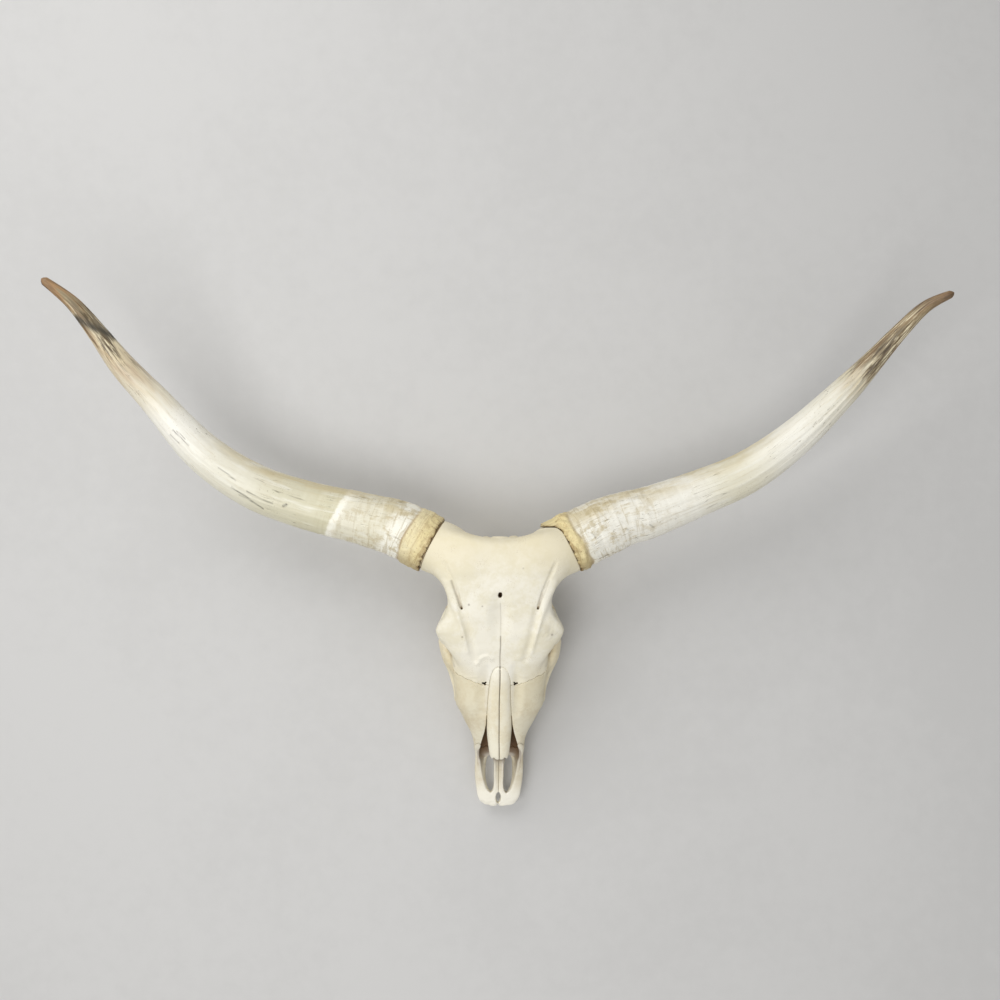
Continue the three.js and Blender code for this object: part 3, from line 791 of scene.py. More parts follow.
def new_mesh(name, points, faces, marks, material):
    """A smooth-shaded object from points in millimetres round the poll.

    faces is a list of arrays, each with one number of corners to a face. marks holds one number for each
    point, or three, by the name of the mark.
    """
    mesh = bpy.data.meshes.new(name)
    placed = np.asarray(points) * MM + np.array(POLL)
    mesh.vertices.add(len(placed))
    mesh.vertices.foreach_set("co", placed.astype(np.float32).ravel())
    corners = np.concatenate([part.ravel() for part in faces])
    mesh.loops.add(len(corners))
    mesh.loops.foreach_set("vertex_index", corners.astype(np.int32))
    counts = np.concatenate([np.full(len(part), part.shape[1]) for part in faces])
    mesh.polygons.add(len(counts))
    mesh.polygons.foreach_set("loop_start", (np.cumsum(counts) - counts).astype(np.int32))
    mesh.polygons.foreach_set("use_smooth", np.ones(len(counts), bool))
    for mark, values in marks.items():
        values = np.asarray(values, np.float32)
        kind, field = ("FLOAT", "value") if values.ndim == 1 else ("FLOAT_VECTOR", "vector")
        layer = mesh.attributes.new(mark, kind, "POINT")
        layer.data.foreach_set(field, values.ravel())
    mesh.update()
    mesh.validate()
    mesh.materials.append(material)
    return shown(name, mesh)


def tube(rings):
    """Points and faces of a tube through rings of points, closed by a fan at each end.

    The middles of the first and the last ring are the last two points.
    """
    count, around = len(rings), len(rings[0])
    steps = np.arange(around)
    after = (steps + 1) % around
    band = np.stack([steps, after, after + around, steps + around], axis=1)
    quads = np.concatenate([band + r * around for r in range(count - 1)])
    last = (count - 1) * around
    first_fan = np.stack([np.full(around, count * around), after, steps], axis=1)
    last_fan = np.stack([np.full(around, count * around + 1), last + steps, last + after], axis=1)
    middles = [rings[0].mean(axis=0), rings[-1].mean(axis=0)]
    return np.concatenate([*rings, middles]), [quads, first_fan, last_fan]


def facing(faces, side):
    """Faces as they are for one side of the head, or turned over for its mirror image."""
    return [part[:, ::side] for part in faces]


def nose_room():
    """The room of the nose as a field of its own."""
    room = empty_field()
    join(room, loft([*NOSE_CAVITY, (476, 41, 56, 76, 40)], 2.3, 3), 0)
    return room


def nose_dark(room, points):
    """How much painted shade a point gets inside the nose, from 0 outside to 1 on its walls."""
    inside = 1 - smoothstep(0.5, 3.5, sampled(room, points))
    ahead = -points[:, 1]
    roof = 122 - 0.42 * (ahead - 350)
    return inside * smoothstep(4, 28, roof - points[:, 2]) * smoothstep(492, 404, ahead)


def bone_marks(points, around):
    """The marks that a bone's finish reads: how hollow it is near and further off, for its stain and painted
    shade, its lines and its age, with painted shade in the nose, painted shade on the face and a painted
    highlight on the nasal root.
    """
    out, ahead = np.abs(points[:, 0]), -points[:, 1]
    nasal_seam = np.exp(-(((out - 22) / 7) ** 2)) * (ahead > 240) * smoothstep(350, 325, ahead)
    # A painted highlight on the nasal root.
    nose_root_highlight = 0.6 * np.exp(-(((ahead - 258) / 24) ** 2)) * (out < 22)
    aged_poll = 1 - smoothstep(18, 120, ahead + 0.25 * (120 - out))
    # Painted shade: the upper face darkened gradually towards the jaw bones.
    face_shade = 0.7 * smoothstep(285, 330, ahead + 0.9 * out) * smoothstep(380, 270, ahead)
    nose_shade = 0.52 + 0.27 * nose_dark(around["nose"], points)
    return {
        # hollow drives brown stain and painted shade in hollows, and is lessened along the nasal seam.
        "hollow": sampled(around["near"], points) - 0.22 * nasal_seam,
        # depth: painted shade in deep hollows and inside the nose, brown like dirt.
        "depth": np.maximum(sampled(around["wide"], points), nose_shade),
        "suture": dark_lines(points),
        "yellowed_and_shaded": np.maximum(aged_poll, face_shade),
        "pale_tip_and_highlight": np.maximum(smoothstep(476, 528, ahead), nose_root_highlight),
    }


def placed_bone(name, points, faces, around, node, material):
    """One bone in the frame, in the place of its solid."""
    bone = new_mesh(name, as_lived(points), [faces], bone_marks(points, around), material)
    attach(bone, "root")
    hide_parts(node)


# Fine dark marks on the forehead: a line of (out, ahead) points, its width and its strength. On the midline
# they are sutures; along the orbit rims and the grooves over the orbits they are painted shade.
GROOVE_SHADE = [(90, 82), (83, 104), (77, 120), (74, 130)]
FOREHEAD_LINES = [
    ([(0.6, 122), (1.0, 150), (0.2, 172), (0.4, 186)], 1.5, 0.30),
    ([(0.4, 186), (0.9, 205), (0.2, 228), (0.3, 249)], 1.7, 0.85),
    # Painted shade along the edge of each orbit's rim.
    ([(-117, 198), (-107, 213), (-97, 228), (-88, 250)], 3.2, 0.45),
    ([(117, 198), (107, 213), (97, 228), (88, 250)], 3.2, 0.4),
    # Painted shade along the grooves over the orbits.
    ([(-out, ahead) for out, ahead in GROOVE_SHADE], 3.6, 0.48),
    (GROOVE_SHADE, 2.6, 0.26),
]
# Pits: out, ahead, size and strength
FOREHEAD_PITS = [
    (-58, 126, 2.0, 0.6),
    (-33, 128, 1.6, 0.5),
    (-71, 187, 1.9, 0.5),
    (97, 184, 2.4, 0.6),
    (42, 58, 1.6, 0.3),
]
# Low swellings: a line of (out, ahead) points, its width and its height
BUMP_LINES = [
    ([(-43, 240), (-38, 231), (-31, 226), (-23, 225), (-15, 230)], 6.5, 1.8),
    ([(26, 234), (33, 229), (41, 228), (48, 232)], 8, 0.6),
]


def dark_lines(points):
    """Dark thin lines and pits on the upper side of the head: sutures, pits and a grey patch, and painted
    shade along the orbit rims and the grooves.
    """
    out, ahead, height = points[:, 0], -points[:, 1], points[:, 2]
    line = np.zeros(len(points))
    for path, width, strength in FOREHEAD_LINES:
        line = np.maximum(line, strength * line_mark(points, path, width))
    for pit_out, pit_ahead, size, strength in FOREHEAD_PITS:
        away = np.hypot(out - pit_out, ahead - pit_ahead)
        line = np.maximum(line, strength * np.clip(1.4 - away / size, 0, 1))
    patch = np.exp(-(((out - 93) / 12) ** 2) - (((ahead - 178) / 17) ** 2))
    line = np.maximum(line, 0.22 * patch * np.clip(0.6 + 0.5 * wavy(points, (17, 8), 31), 0, 1))
    between_nasals = (ahead > 252) * np.clip(1.4 - np.abs(out) / 0.9, 0, 1) * (height > 90)
    return np.maximum(line * smoothstep(120, 140, height), 0.7 * between_nasals)


# The hollow in the bone under the left sheath where that has sprung away: x, ahead, z, radius
UNDER_LIP = [
    (75, -12, 158, 3.0),
    (85, -15, 167, 6.4),
    (96, -18, 176, 6.3),
    (107, -18, 183, 5.0),
    (113, -12, 190, 3.2),
    (117, -5, 196, 0.9),
]


def split_bones():
    """The left half of each bone as a field, and how much bone is near each point and further off."""
    head, muzzle, nasals = head_field(), muzzle_field(), nasal_field()
    x, ahead, z = XS[:, None, None], -YS[None, :, None], ZS[None, None, :]
    nasal_room = empty_field()
    join(nasal_room, loft(NASALS, 2.7, 5, SEAM), 0)
    underside = UNDERSIDE - z
    head = np.maximum(np.maximum(head, -nasal_room), underside)
    half_seam = SEAM / 2
    beside_midline = half_seam - x
    jaw_line, muzzle_line = suture(JAW_SUTURE, 0.8, JAW_SUTURE_SLOPE), suture(MUZZLE_SUTURE, 1.6)
    rear = np.maximum(head, jaw_line + half_seam)
    cheek_room = np.maximum(np.maximum(CHEEK["inner"] - x, z - CHEEK["high"]), CHEEK["from"] - ahead)
    cranium = np.maximum(rear, half_seam - cheek_room)
    carve(cranium, beyond_rim(90, 70, 0.3), 0)
    join(cranium, beyond_rim(4.5, 49.5, 4), 1)
    join(cranium, beyond_rim(CORE_DEPTH, CORE_RADIUS, 4), 0)
    jaw_room = np.maximum(half_seam - jaw_line, np.maximum(muzzle_line + half_seam, beside_midline))
    snout = blend_min(head, np.maximum(muzzle, underside), 7)
    fields = {
        "cranium": cranium,
        "cheekbone": np.maximum(rear, cheek_room + half_seam),
        "upper_jaw": np.maximum(head, jaw_room),
        "nasal": np.maximum(nasals, beside_midline),
        "premaxilla": np.maximum(np.maximum(snout, half_seam - muzzle_line), beside_midline),
    }
    solid = (np.minimum(np.minimum(head, nasals), np.where(ahead > 425, muzzle, FAR)) < 0).astype(np.float32)
    return fields, {"near": boxed_mean(solid, 4), "wide": boxed_mean(solid, 14), "nose": nose_room()}


def make_bones():
    """Skin each bone from its share of the head, with the paired ones mirrored."""
    fields, around = split_bones()
    head, corner = whole_head(fields["cranium"])
    carve(head[len(XS) - 1 :], limb(UNDER_LIP, 12), 1.2)
    points, faces = skin_of(*trimmed(head, corner))
    material = bone_material("cranial_bone", CRANIAL)
    placed_bone("cranium_bone", points, faces, around, "cranium", material)
    for name, slot, finish, look in (
        ("cheekbone", "bone", "cheek_bone", CHEEKS),
        ("upper_jaw", "jaw_bone", "jaw_bone", JAWS),
        ("nasal", "nasal_bone", "nasal_bone", NASAL),
        ("premaxilla", "bone", "premaxilla_bone", MUZZLES),
    ):
        material = bone_material(finish, look)
        points, faces = skin_of(*trimmed(fields[name], FIELD_LOW))
        for side, word in ((1, "left"), (-1, "right")):
            piece, node = f"{name}_bone_{word}", f"{name}_{word}"
            placed_bone(piece, points * [side, 1, 1], faces[:, ::side], around, node, material)


# ---------------- cheek teeth

TOOTH_AROUND = 72  # points in each ring of a tooth
# The rings round a crown: height over the worn face, and size
TOOTH_SIDES = [(46, 0.80), (38, 0.90), (26, 0.97), (14, 1.0), (6, 0.99), (2.4, 0.975), (0.9, 0.955)]
TOOTH_FACE = [0.90, 0.84, 0.76, 0.66, 0.54, 0.42, 0.30, 0.18, 0.08]  # sizes of the rings on the worn face


def worn_height(along, across, size, length, width, lobes):
    """The height of a worn face: a rim, and in each lobe a raised fold with a pit round it."""
    lakes = 0
    for lobe in range(lobes):
        centre = 0 if lobes == 1 else (lobe - 0.5) * length * 0.46
        long = length * 0.15 * (1.7 if lobes == 1 else 1)
        reach = np.hypot((along - centre) / long, across / (width * 0.24))
        lakes = lakes + 1.7 * np.exp(-(reach**4)) - 0.9 * np.exp(-(((reach - 1.25) / 0.3) ** 2))
    rim = 0.9 * np.exp(-(((size - 0.92) / 0.08) ** 2))
    return np.clip(1.3 + lakes - rim, 0.15, 5)


def tooth_mesh(length, width, lobes):
    """A cheek tooth's points and faces: a fluted crown and a worn face, which points down."""
    turn = np.linspace(0, 2 * math.pi, TOOTH_AROUND, endpoint=False)
    cos, sin = np.cos(turn), np.sin(turn)
    flute = 0.055 * np.cos(turn * (3 if lobes == 1 else 6)) * (sin > -0.2)
    waist = 0.10 * np.exp(-((cos / 0.16) ** 2)) if lobes == 2 else 0
    along = length / 2 * np.sign(cos) * np.abs(cos) ** 0.72
    across = width / 2 * np.sign(sin) * np.abs(sin) ** 0.78 * (1 + flute - waist)
    rings = []
    for height, size in TOOTH_SIDES:
        rings.append(np.stack([along * size, across * size, np.full(TOOTH_AROUND, float(height))], axis=1))
    for size in TOOTH_FACE:
        height = worn_height(along * size, across * size, size, length, width, lobes)
        rings.append(np.stack([along * size, across * size, height], axis=1))
    return tube(rings)


def make_teeth():
    """The two rows of cheek teeth."""
    material = tooth_material()
    for n, (middle, inset, width) in enumerate(tooth_places()):
        points, faces = tooth_mesh(TOOTH_LENGTHS[n], width, 1 if n < 3 else 2)
        along, across, height = points.T
        marks = {"worn": np.clip(height / 3, 0, 1)}
        for side, word in ((1, "left"), (-1, "right")):
            placed = as_lived(np.stack([side * (inset + across), -middle - along, height], axis=1))
            tooth = new_mesh(f"cheek_tooth_{n + 1}_{word}", placed, facing(faces, -side), marks, material)
            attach(tooth, "root")


# ---------------- horns

HORN_AROUND = 120  # points in each ring of a horn's skin
HORN_STEP = 2.2  # mm between the rings
RIM_RADIUS = 50.0
SOCKET_RADIUS = 45
SOCKET_DEPTH = 17
LIP_TURN = 0.14  # the way round the horn to the middle of its sprung lip, and half the lip's width
LIP_HALF = 0.38
LIP_RISE = 6.3  # how far the lip stands away from the bone


class HornPath:
    """A horn's centreline by distance from its rim, with the directions across it."""

    def __init__(self, table, side):
        rows = spline_rows(table, np.linspace(0, len(table) - 1, 1200))
        self.side = side
        steps = np.linalg.norm(np.diff(rows[:, :3], axis=0), axis=1)
        self.distance = np.concatenate([[0], np.cumsum(steps)])
        self.length = self.distance[-1]
        self.rows = rows
        along = np.gradient(rows[:, :3], axis=0)
        along /= np.linalg.norm(along, axis=1)[:, None]
        raised = np.array([0.0, 0.0, 1.0]) - along[:, 2:3] * along
        raised /= np.linalg.norm(raised, axis=1)[:, None]
        self.along, self.raised, self.aside = along, raised, np.cross(raised, along)

    def at(self, values, distance):
        """Rows of values at distances along the horn."""
        columns = [np.interp(distance, self.distance, values[:, n]) for n in range(values.shape[1])]
        return np.stack(columns, axis=-1)

    def points(self, distance, turn, radius):
        """Points by distance from the rim, turn and radius. Before the rim the path runs straight."""
        across = self.at(self.aside, distance) * np.cos(turn)[..., None]
        across = across + self.at(self.raised, distance) * np.sin(turn)[..., None]
        out = self.at(self.rows[:, :3], distance) + across * radius[..., None]
        out = out + np.minimum(distance, 0)[..., None] * self.along[0]
        out[..., 0] *= self.side
        return out

    def radius(self, distance):
        return np.interp(distance, self.distance, self.rows[:, 3])


def ring_noise(turn, distance, across, along, seed):
    """Smooth numbers over a horn, with a scale round it and another along it."""
    flat = np.stack([np.cos(turn) * 50 / across, np.sin(turn) * 50 / across, distance / along], axis=-1)
    return wavy(flat.reshape(-1, 3) * 2 * math.pi, (2 * math.pi,), seed).reshape(turn.shape)


def band_edge(distance, turn, look):
    """How far the wavy edge of a horn's rough band lies from where an even edge would be."""
    return 3.5 * ring_noise(turn, distance * 0, 50, 900, look["seed"] + 7)


def horn_relief(distance, turn, radius, look):
    """How far a horn's skin stands out from its plain radius."""
    seed, band = look["seed"], look["band"]
    rings = 0
    for n, (wave, height) in enumerate(((9.3, 0.22), (15.7, 0.32), (31.0, 0.42))):
        drift = 1.9 * ring_noise(turn, distance, 90, 240, seed + n)
        rings = rings + height * np.sin(2 * math.pi * distance / wave + drift)
    relief = rings * (np.exp(-distance / 170) + 0.06)
    relief = relief + 0.35 * ring_noise(turn, distance, 16, 400, seed + 5) * smoothstep(0, 60, distance)
    relief = relief + 0.25 * ring_noise(turn, distance, 7, 150, seed + 6)
    edge = band + band_edge(distance, turn, look)
    on_band = 1 - smoothstep(edge - 5, edge + 1, distance)
    rough = ring_noise(turn, distance, 12, 10, seed + 8) + 0.5 * ring_noise(turn, distance, 6, 6, seed + 9)
    bulge = 0.4 + 1.9 * np.sin(math.pi * np.clip(distance / band, 0, 1)) ** 0.8
    relief = relief + on_band * (bulge + look["rough"] * rough)
    relief = relief - 0.7 * np.exp(-(((distance - edge) / 3) ** 2))
    relief = relief + look["layer"] * (1 - smoothstep(192, 197, distance + 13 * np.cos(turn)))
    relief = relief - 1.4 * np.exp(-distance / 4)
    return relief * np.minimum(1, radius / 12)


def horn_skin(path, plain, turn, look):
    """The outer skin at even distances: where it really lies along the horn, its plain radius and its reach.

    The sheath's rim is ragged, and where it has sprung off the bone it reaches further in and stands away.
    """
    seed, lip = look["seed"], look["lip"]
    torn = ring_noise(turn, plain * 0, 14, 100, seed + 20)
    torn = torn + 0.7 * ring_noise(turn, plain * 0, 5, 100, seed + 21)
    sprung = np.exp(-(((turn - LIP_TURN) / LIP_HALF) ** 2)) * (lip > 0)
    fade = 1 - smoothstep(0, 70 if lip else 26, plain)
    distance = plain + (np.maximum(0.8 + 1.4 * torn, 0.1) - lip * sprung) * fade
    inside = np.clip(distance, 0, path.length)
    radius = path.radius(inside)
    blunt = np.sqrt(np.clip((path.length - plain) / look["blunt"], 0, 1))
    reach = (radius + horn_relief(inside, turn, radius, look)) * blunt + LIP_RISE * sprung * fade
    return distance, radius, reach


def socket_rings(path, distance, turn, reach):
    """The rings from the bottom of a sheath's socket to its rim, given the first ring of its outer skin."""
    even = np.ones(HORN_AROUND)
    return [
        path.points(even * SOCKET_DEPTH, turn, even * SOCKET_RADIUS),
        path.points(even * 6, turn, even * SOCKET_RADIUS),
        path.points(np.maximum(distance, 4.8), turn, reach - 2.8),
        path.points(distance + 1.2, turn, reach - 2.4),
        path.points(distance + 0.3, turn, reach - 1.2),
    ]


def horn_marks(points, along, turn, radius, rim, look, length):
    """The marks that a horn's finish reads, for each point of its rings and the middles of its two ends."""
    grain = np.stack([np.cos(turn) * radius, np.sin(turn) * radius, along], axis=-1).reshape(-1, 3)
    band = 1 - smoothstep(look["band"] - 4, look["band"] + 3, along - band_edge(along, turn, look))
    fleck = np.zeros(len(points))
    for line, width, strength in look["flecks"]:
        mark = line_mark(points, line, width) * smoothstep(120, 150, points[:, 2])
        fleck = np.maximum(fleck, np.minimum(strength * mark, 1))
    return {
        "share": np.append(along + look["slant"] * np.cos(turn), [0, length]) / length,
        "band": np.append(band, [1, 0]),
        "rim": np.append(rim, [1, 0]),
        "fleck": fleck,
        "grain": np.concatenate([grain, [[0, 0, 0], [0, 0, length]]]) * MM,
    }


def make_horn(word, table, side, look):
    """A horn sheath with its socket, from a table of its centreline."""
    path = HornPath(table, side)
    around = np.linspace(-math.pi, math.pi, HORN_AROUND, endpoint=False)
    even = np.linspace(0, path.length, int(path.length / HORN_STEP))
    turn, plain = np.broadcast_arrays(around, even[:, None])
    distance, radius, reach = horn_skin(path, plain, turn, look)
    socket = socket_rings(path, distance[0], around, reach[0])
    points, faces = tube([*socket, *path.points(distance, turn, reach)])
    inner = (len(socket), HORN_AROUND)
    along = np.concatenate([np.zeros(inner), np.clip(distance, 0, path.length)])
    radius = np.concatenate([np.full(inner, RIM_RADIUS), radius])
    # rim: a brown edge at the sheath's rim, and painted shade in the gap there and inside the socket.
    rim = np.concatenate([np.ones(inner), np.exp(-plain / 3.5)])
    marks = horn_marks(points, along, np.broadcast_to(around, along.shape), radius, rim, look, path.length)
    material = horn_material(f"horn_{word}", look)
    horn = new_mesh(f"horn_sheath_{word}", points, facing(faces, side), marks, material)
    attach(horn, "root")
    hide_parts(f"horn_base_{word}", f"horn_{word}", f"horn_tip_{word}")


# Marks on the horns, as a line of (out, ahead) points, a width and a strength
LEFT_FLECKS = [
    ([(170, -7), (177, 2)], 1.8, 0.6),
    ([(234, -14), (238, -13)], 2.0, 0.5),
    ([(208, -1), (211, 0)], 1.8, 0.5),
    ([(280, -22), (287, -17)], 2.6, 0.5),
    ([(612, -196), (616, -199)], 2.0, 0.5),
]
RIGHT_FLECKS = [
    ([(-404, -57), (-398, -59)], 2.8, 1.7),
    ([(-498, -92), (-486, -83), (-472, -74), (-457, -62), (-443, -52)], 1.7, 1.0),
    ([(-486, -78), (-470, -70), (-452, -58)], 1.5, 0.8),
    ([(-470, -84), (-452, -74), (-436, -66), (-424, -62)], 1.4, 0.7),
    ([(-597, -196), (-585, -184), (-570, -168)], 1.5, 0.9),
    ([(-603, -188), (-594, -178), (-588, -172)], 1.5, 0.8),
    ([(-590, -194), (-582, -186), (-576, -179)], 1.4, 0.7),
    ([(-520, -128), (-505, -117), (-490, -104)], 1.5, 0.7),
    ([(-748, -388), (-730, -379), (-708, -369), (-690, -360)], 10.5, 1.25),
]


# ---------------- finishes


def colour(red, green, blue):
    """A colour given as it looks on a screen, 0 to 255, as light amounts."""
    light = [(c / 255 / 12.92) if c <= 10 else ((c / 255 + 0.055) / 1.055) ** 2.4 for c in (red, green, blue)]
    return (*light, 1.0)


def add(tree, kind, inputs=None, **settings):
    """A node with its settings, and its inputs as values or as sockets to link."""
    node = tree.nodes.new(kind)
    for name, value in settings.items():
        setattr(node, name, value)
    for name, value in (inputs or {}).items():
        if isinstance(value, bpy.types.NodeSocket):
            tree.links.new(value, node.inputs[name])
        else:
            node.inputs[name].default_value = value
    return node


def mix(tree, share, first, second):
    """A colour between two, by a share from 0 to 1."""
    inputs = {0: share, 6: first, 7: second}
    return add(tree, "ShaderNodeMix", inputs, data_type="RGBA", clamp_factor=True).outputs[2]


def maths(tree, operation, *values):
    """One step of arithmetic on values or sockets."""
    return add(tree, "ShaderNodeMath", dict(enumerate(values)), operation=operation).outputs[0]


def times(tree, first, *others):
    """The product of several values."""
    for value in others:
        first = maths(tree, "MULTIPLY", first, value)
    return first


def over(tree, under, tint, *masks):
    """A colour laid over another where all of the masks are."""
    return mix(tree, times(tree, *masks), under, tint)


def ranged(tree, value, low, high, to_low=0.0, to_high=1.0):
    """A value moved smoothly from one range to another."""
    inputs = {0: value, 1: low, 2: high, 3: to_low, 4: to_high}
    return add(tree, "ShaderNodeMapRange", inputs, interpolation_type="SMOOTHSTEP").outputs[0]


def mark(tree, name, vector=False):
    """A number, or three, that a mesh carries on its points."""
    node = add(tree, "ShaderNodeAttribute", attribute_name=name)
    return node.outputs["Vector" if vector else "Fac"]


def noise(tree, vector, scale, detail=3.0, rough=0.55, distortion=0.0):
    inputs = {"Vector": vector, "Scale": scale, "Detail": detail, "Roughness": rough}
    return add(tree, "ShaderNodeTexNoise", {**inputs, "Distortion": distortion}).outputs["Fac"]


def stretched(tree, vector, scale):
    return add(tree, "ShaderNodeVectorMath", {0: vector, 1: scale}, operation="MULTIPLY").outputs[0]


def streaks(tree, place, along, *settings):
    """Noise drawn out along a horn, with how fast it changes along it against 1 across it."""
    return noise(tree, stretched(tree, place, (1.0, 1.0, along)), *settings)


def bumped(tree, shader, height, strength, distance):
    """Give a shader fine relief."""
    relief = add(tree, "ShaderNodeBump", {"Height": height, "Strength": strength, "Distance": distance})
    tree.links.new(relief.outputs[0], shader.inputs["Normal"])


def new_group(name, inputs, outputs):
    """A shader node group with named inputs and outputs, each given as (name, kind, value)."""
    group = bpy.data.node_groups.new(name, "ShaderNodeTree")
    for socket, kind, value in inputs:
        made = group.interface.new_socket(name=socket, in_out="INPUT", socket_type=f"NodeSocket{kind}")
        if value is not None:
            made.default_value = value
    for socket, kind in outputs:
        group.interface.new_socket(name=socket, in_out="OUTPUT", socket_type=f"NodeSocket{kind}")
    return group, group.nodes.new("NodeGroupInput").outputs, group.nodes.new("NodeGroupOutput").inputs


def mottling_group():
    """Two colours in soft patches, broken up by finer ones."""
    inputs = [
        ("Place", "Vector", None),
        ("Patch Scale", "Float", 14.0),
        ("Fleck Scale", "Float", 120.0),
        ("First", "Color", (1, 1, 1, 1)),
        ("Second", "Color", (0.5, 0.5, 0.5, 1)),
    ]
    group, given, result = new_group("mottling", inputs, [("Colour", "Color"), ("Patches", "Float")])
    broad = noise(group, given["Place"], given["Patch Scale"], 5.0, 0.6, 0.4)
    fine = noise(group, given["Place"], given["Fleck Scale"], 3.0, 0.6)
    both = maths(group, "ADD", times(group, broad, 0.72), times(group, fine, 0.28))
    patches = ranged(group, both, 0.40, 0.62)
    group.links.new(mix(group, patches, given["First"], given["Second"]), result["Colour"])
    group.links.new(patches, result["Patches"])
    return group


# A pale tone laid on raised bone as a painted highlight.
PAINTED_RIDGE_HIGHLIGHT = (0.90, 0.87, 0.78, 1.0)


def soil_and_shade_group():
    """Brown stain with painted shade in hollows, painted shade inside openings and deep hollows, a painted
    highlight on raised places, and dark lines.
    """
    inputs = [
        ("Colour", "Color", (1, 1, 1, 1)),
        ("Stain", "Color", (0.3, 0.2, 0.1, 1)),
        ("Deep Shade", "Color", (0.05, 0.03, 0.02, 1)),
        ("Line", "Color", (0.12, 0.08, 0.05, 1)),
        ("Place", "Vector", None),
        ("Hollow", "Float", 0.5),
        ("Depth", "Float", 0.5),
        ("Lines And Shade", "Float", 0.0),
    ]
    group, given, result = new_group("soil_and_shade", inputs, [("Colour", "Color")])
    uneven = noise(group, given["Place"], 90.0, 4.0, 0.6)
    hollow = maths(group, "ADD", given["Hollow"], maths(group, "MULTIPLY_ADD", uneven, 0.16, -0.08))
    # Brown in hollows: partly dirt, partly painted shade.
    stained = mix(group, ranged(group, hollow, 0.56, 0.86, 0.0, 0.85), given["Colour"], given["Stain"])
    # Painted shade inside openings and deep hollows.
    deep = ranged(group, given["Depth"], 0.52, 0.78)
    darker = mix(group, deep, stained, given["Deep Shade"])
    # Raised places made paler: a painted highlight.
    raised = ranged(group, hollow, 0.46, 0.28, 0.0, 0.35)
    paler = mix(group, raised, darker, PAINTED_RIDGE_HIGHLIGHT)
    group.links.new(mix(group, given["Lines And Shade"], paler, given["Line"]), result["Colour"])
    return group


def pore_group():
    """The fine relief of dry bone: small pores and shallow dents."""
    inputs = [("Place", "Vector", None), ("Pore Scale", "Float", 420.0), ("Dent Scale", "Float", 60.0)]
    group, given, result = new_group("pores", inputs, [("Height", "Float"), ("Pits", "Float")])
    cells = add(group, "ShaderNodeTexVoronoi", {"Vector": given["Place"], "Scale": given["Pore Scale"]})
    kept = ranged(group, noise(group, given["Place"], 34.0, 2.0), 0.50, 0.66)
    pits = times(group, ranged(group, cells.outputs["Distance"], 0.30, 0.12), kept)
    dents = noise(group, given["Place"], given["Dent Scale"], 5.0, 0.62)
    height = maths(group, "SUBTRACT", times(group, dents, 0.7), times(group, pits, 0.5))
    group.links.new(height, result["Height"])
    group.links.new(pits, result["Pits"])
    return group


MOTTLING, SOIL_AND_SHADE, PORES = mottling_group(), soil_and_shade_group(), pore_group()


def new_finish(name):
    """A new material with its node tree and its shader."""
    material = bpy.data.materials.new(name)
    material.use_nodes = True
    tree = material.node_tree
    return material, tree, tree.nodes["Principled BSDF"]


def placed_group(tree, group, inputs):
    """The outputs of a group that is placed in a tree with its own values."""
    return add(tree, "ShaderNodeGroup", inputs, node_tree=group).outputs


# The bones' finishes: two tones in patches, the stain of hollows (with painted shade there) and of pores, and
# how rough they are
CRANIAL = {
    "pale": colour(242, 237, 221),
    "warm": colour(232, 225, 201),
    "stain": colour(160, 134, 94),
    "shine": 0.58,
}
# The cheek and jaw bones are darker than the cranium: partly their own tone, partly painted shade on the
# sloping sides of the face.
CHEEKS = {**CRANIAL, "pale": colour(228, 218, 192), "warm": colour(212, 196, 160)}
JAWS = {**CRANIAL, "pale": colour(226, 219, 196), "warm": colour(210, 198, 169)}
NASAL = {**CRANIAL, "pale": colour(240, 234, 213), "warm": colour(230, 220, 192), "shine": 0.5}
MUZZLES = {**CRANIAL, "pale": colour(229, 222, 201), "warm": colour(215, 204, 177)}
# A darker yellow: the poll's own yellowing, and painted shade on the face.
YELLOWED_AND_SHADED_BONE = colour(232, 220, 184)
# Paler bone at the muzzle tip, and a painted highlight on the nasal root.
PALE_TIP_AND_HIGHLIGHT_BONE = colour(255, 251, 237)
# Brown painted shade deep in the nose and in deep hollows.
DEEP_PAINTED_SHADE = colour(112, 82, 50)
# Dark lines of sutures, and of painted shade along the orbit rims and grooves.
SUTURE_AND_SHADE_LINE = colour(104, 88, 66)


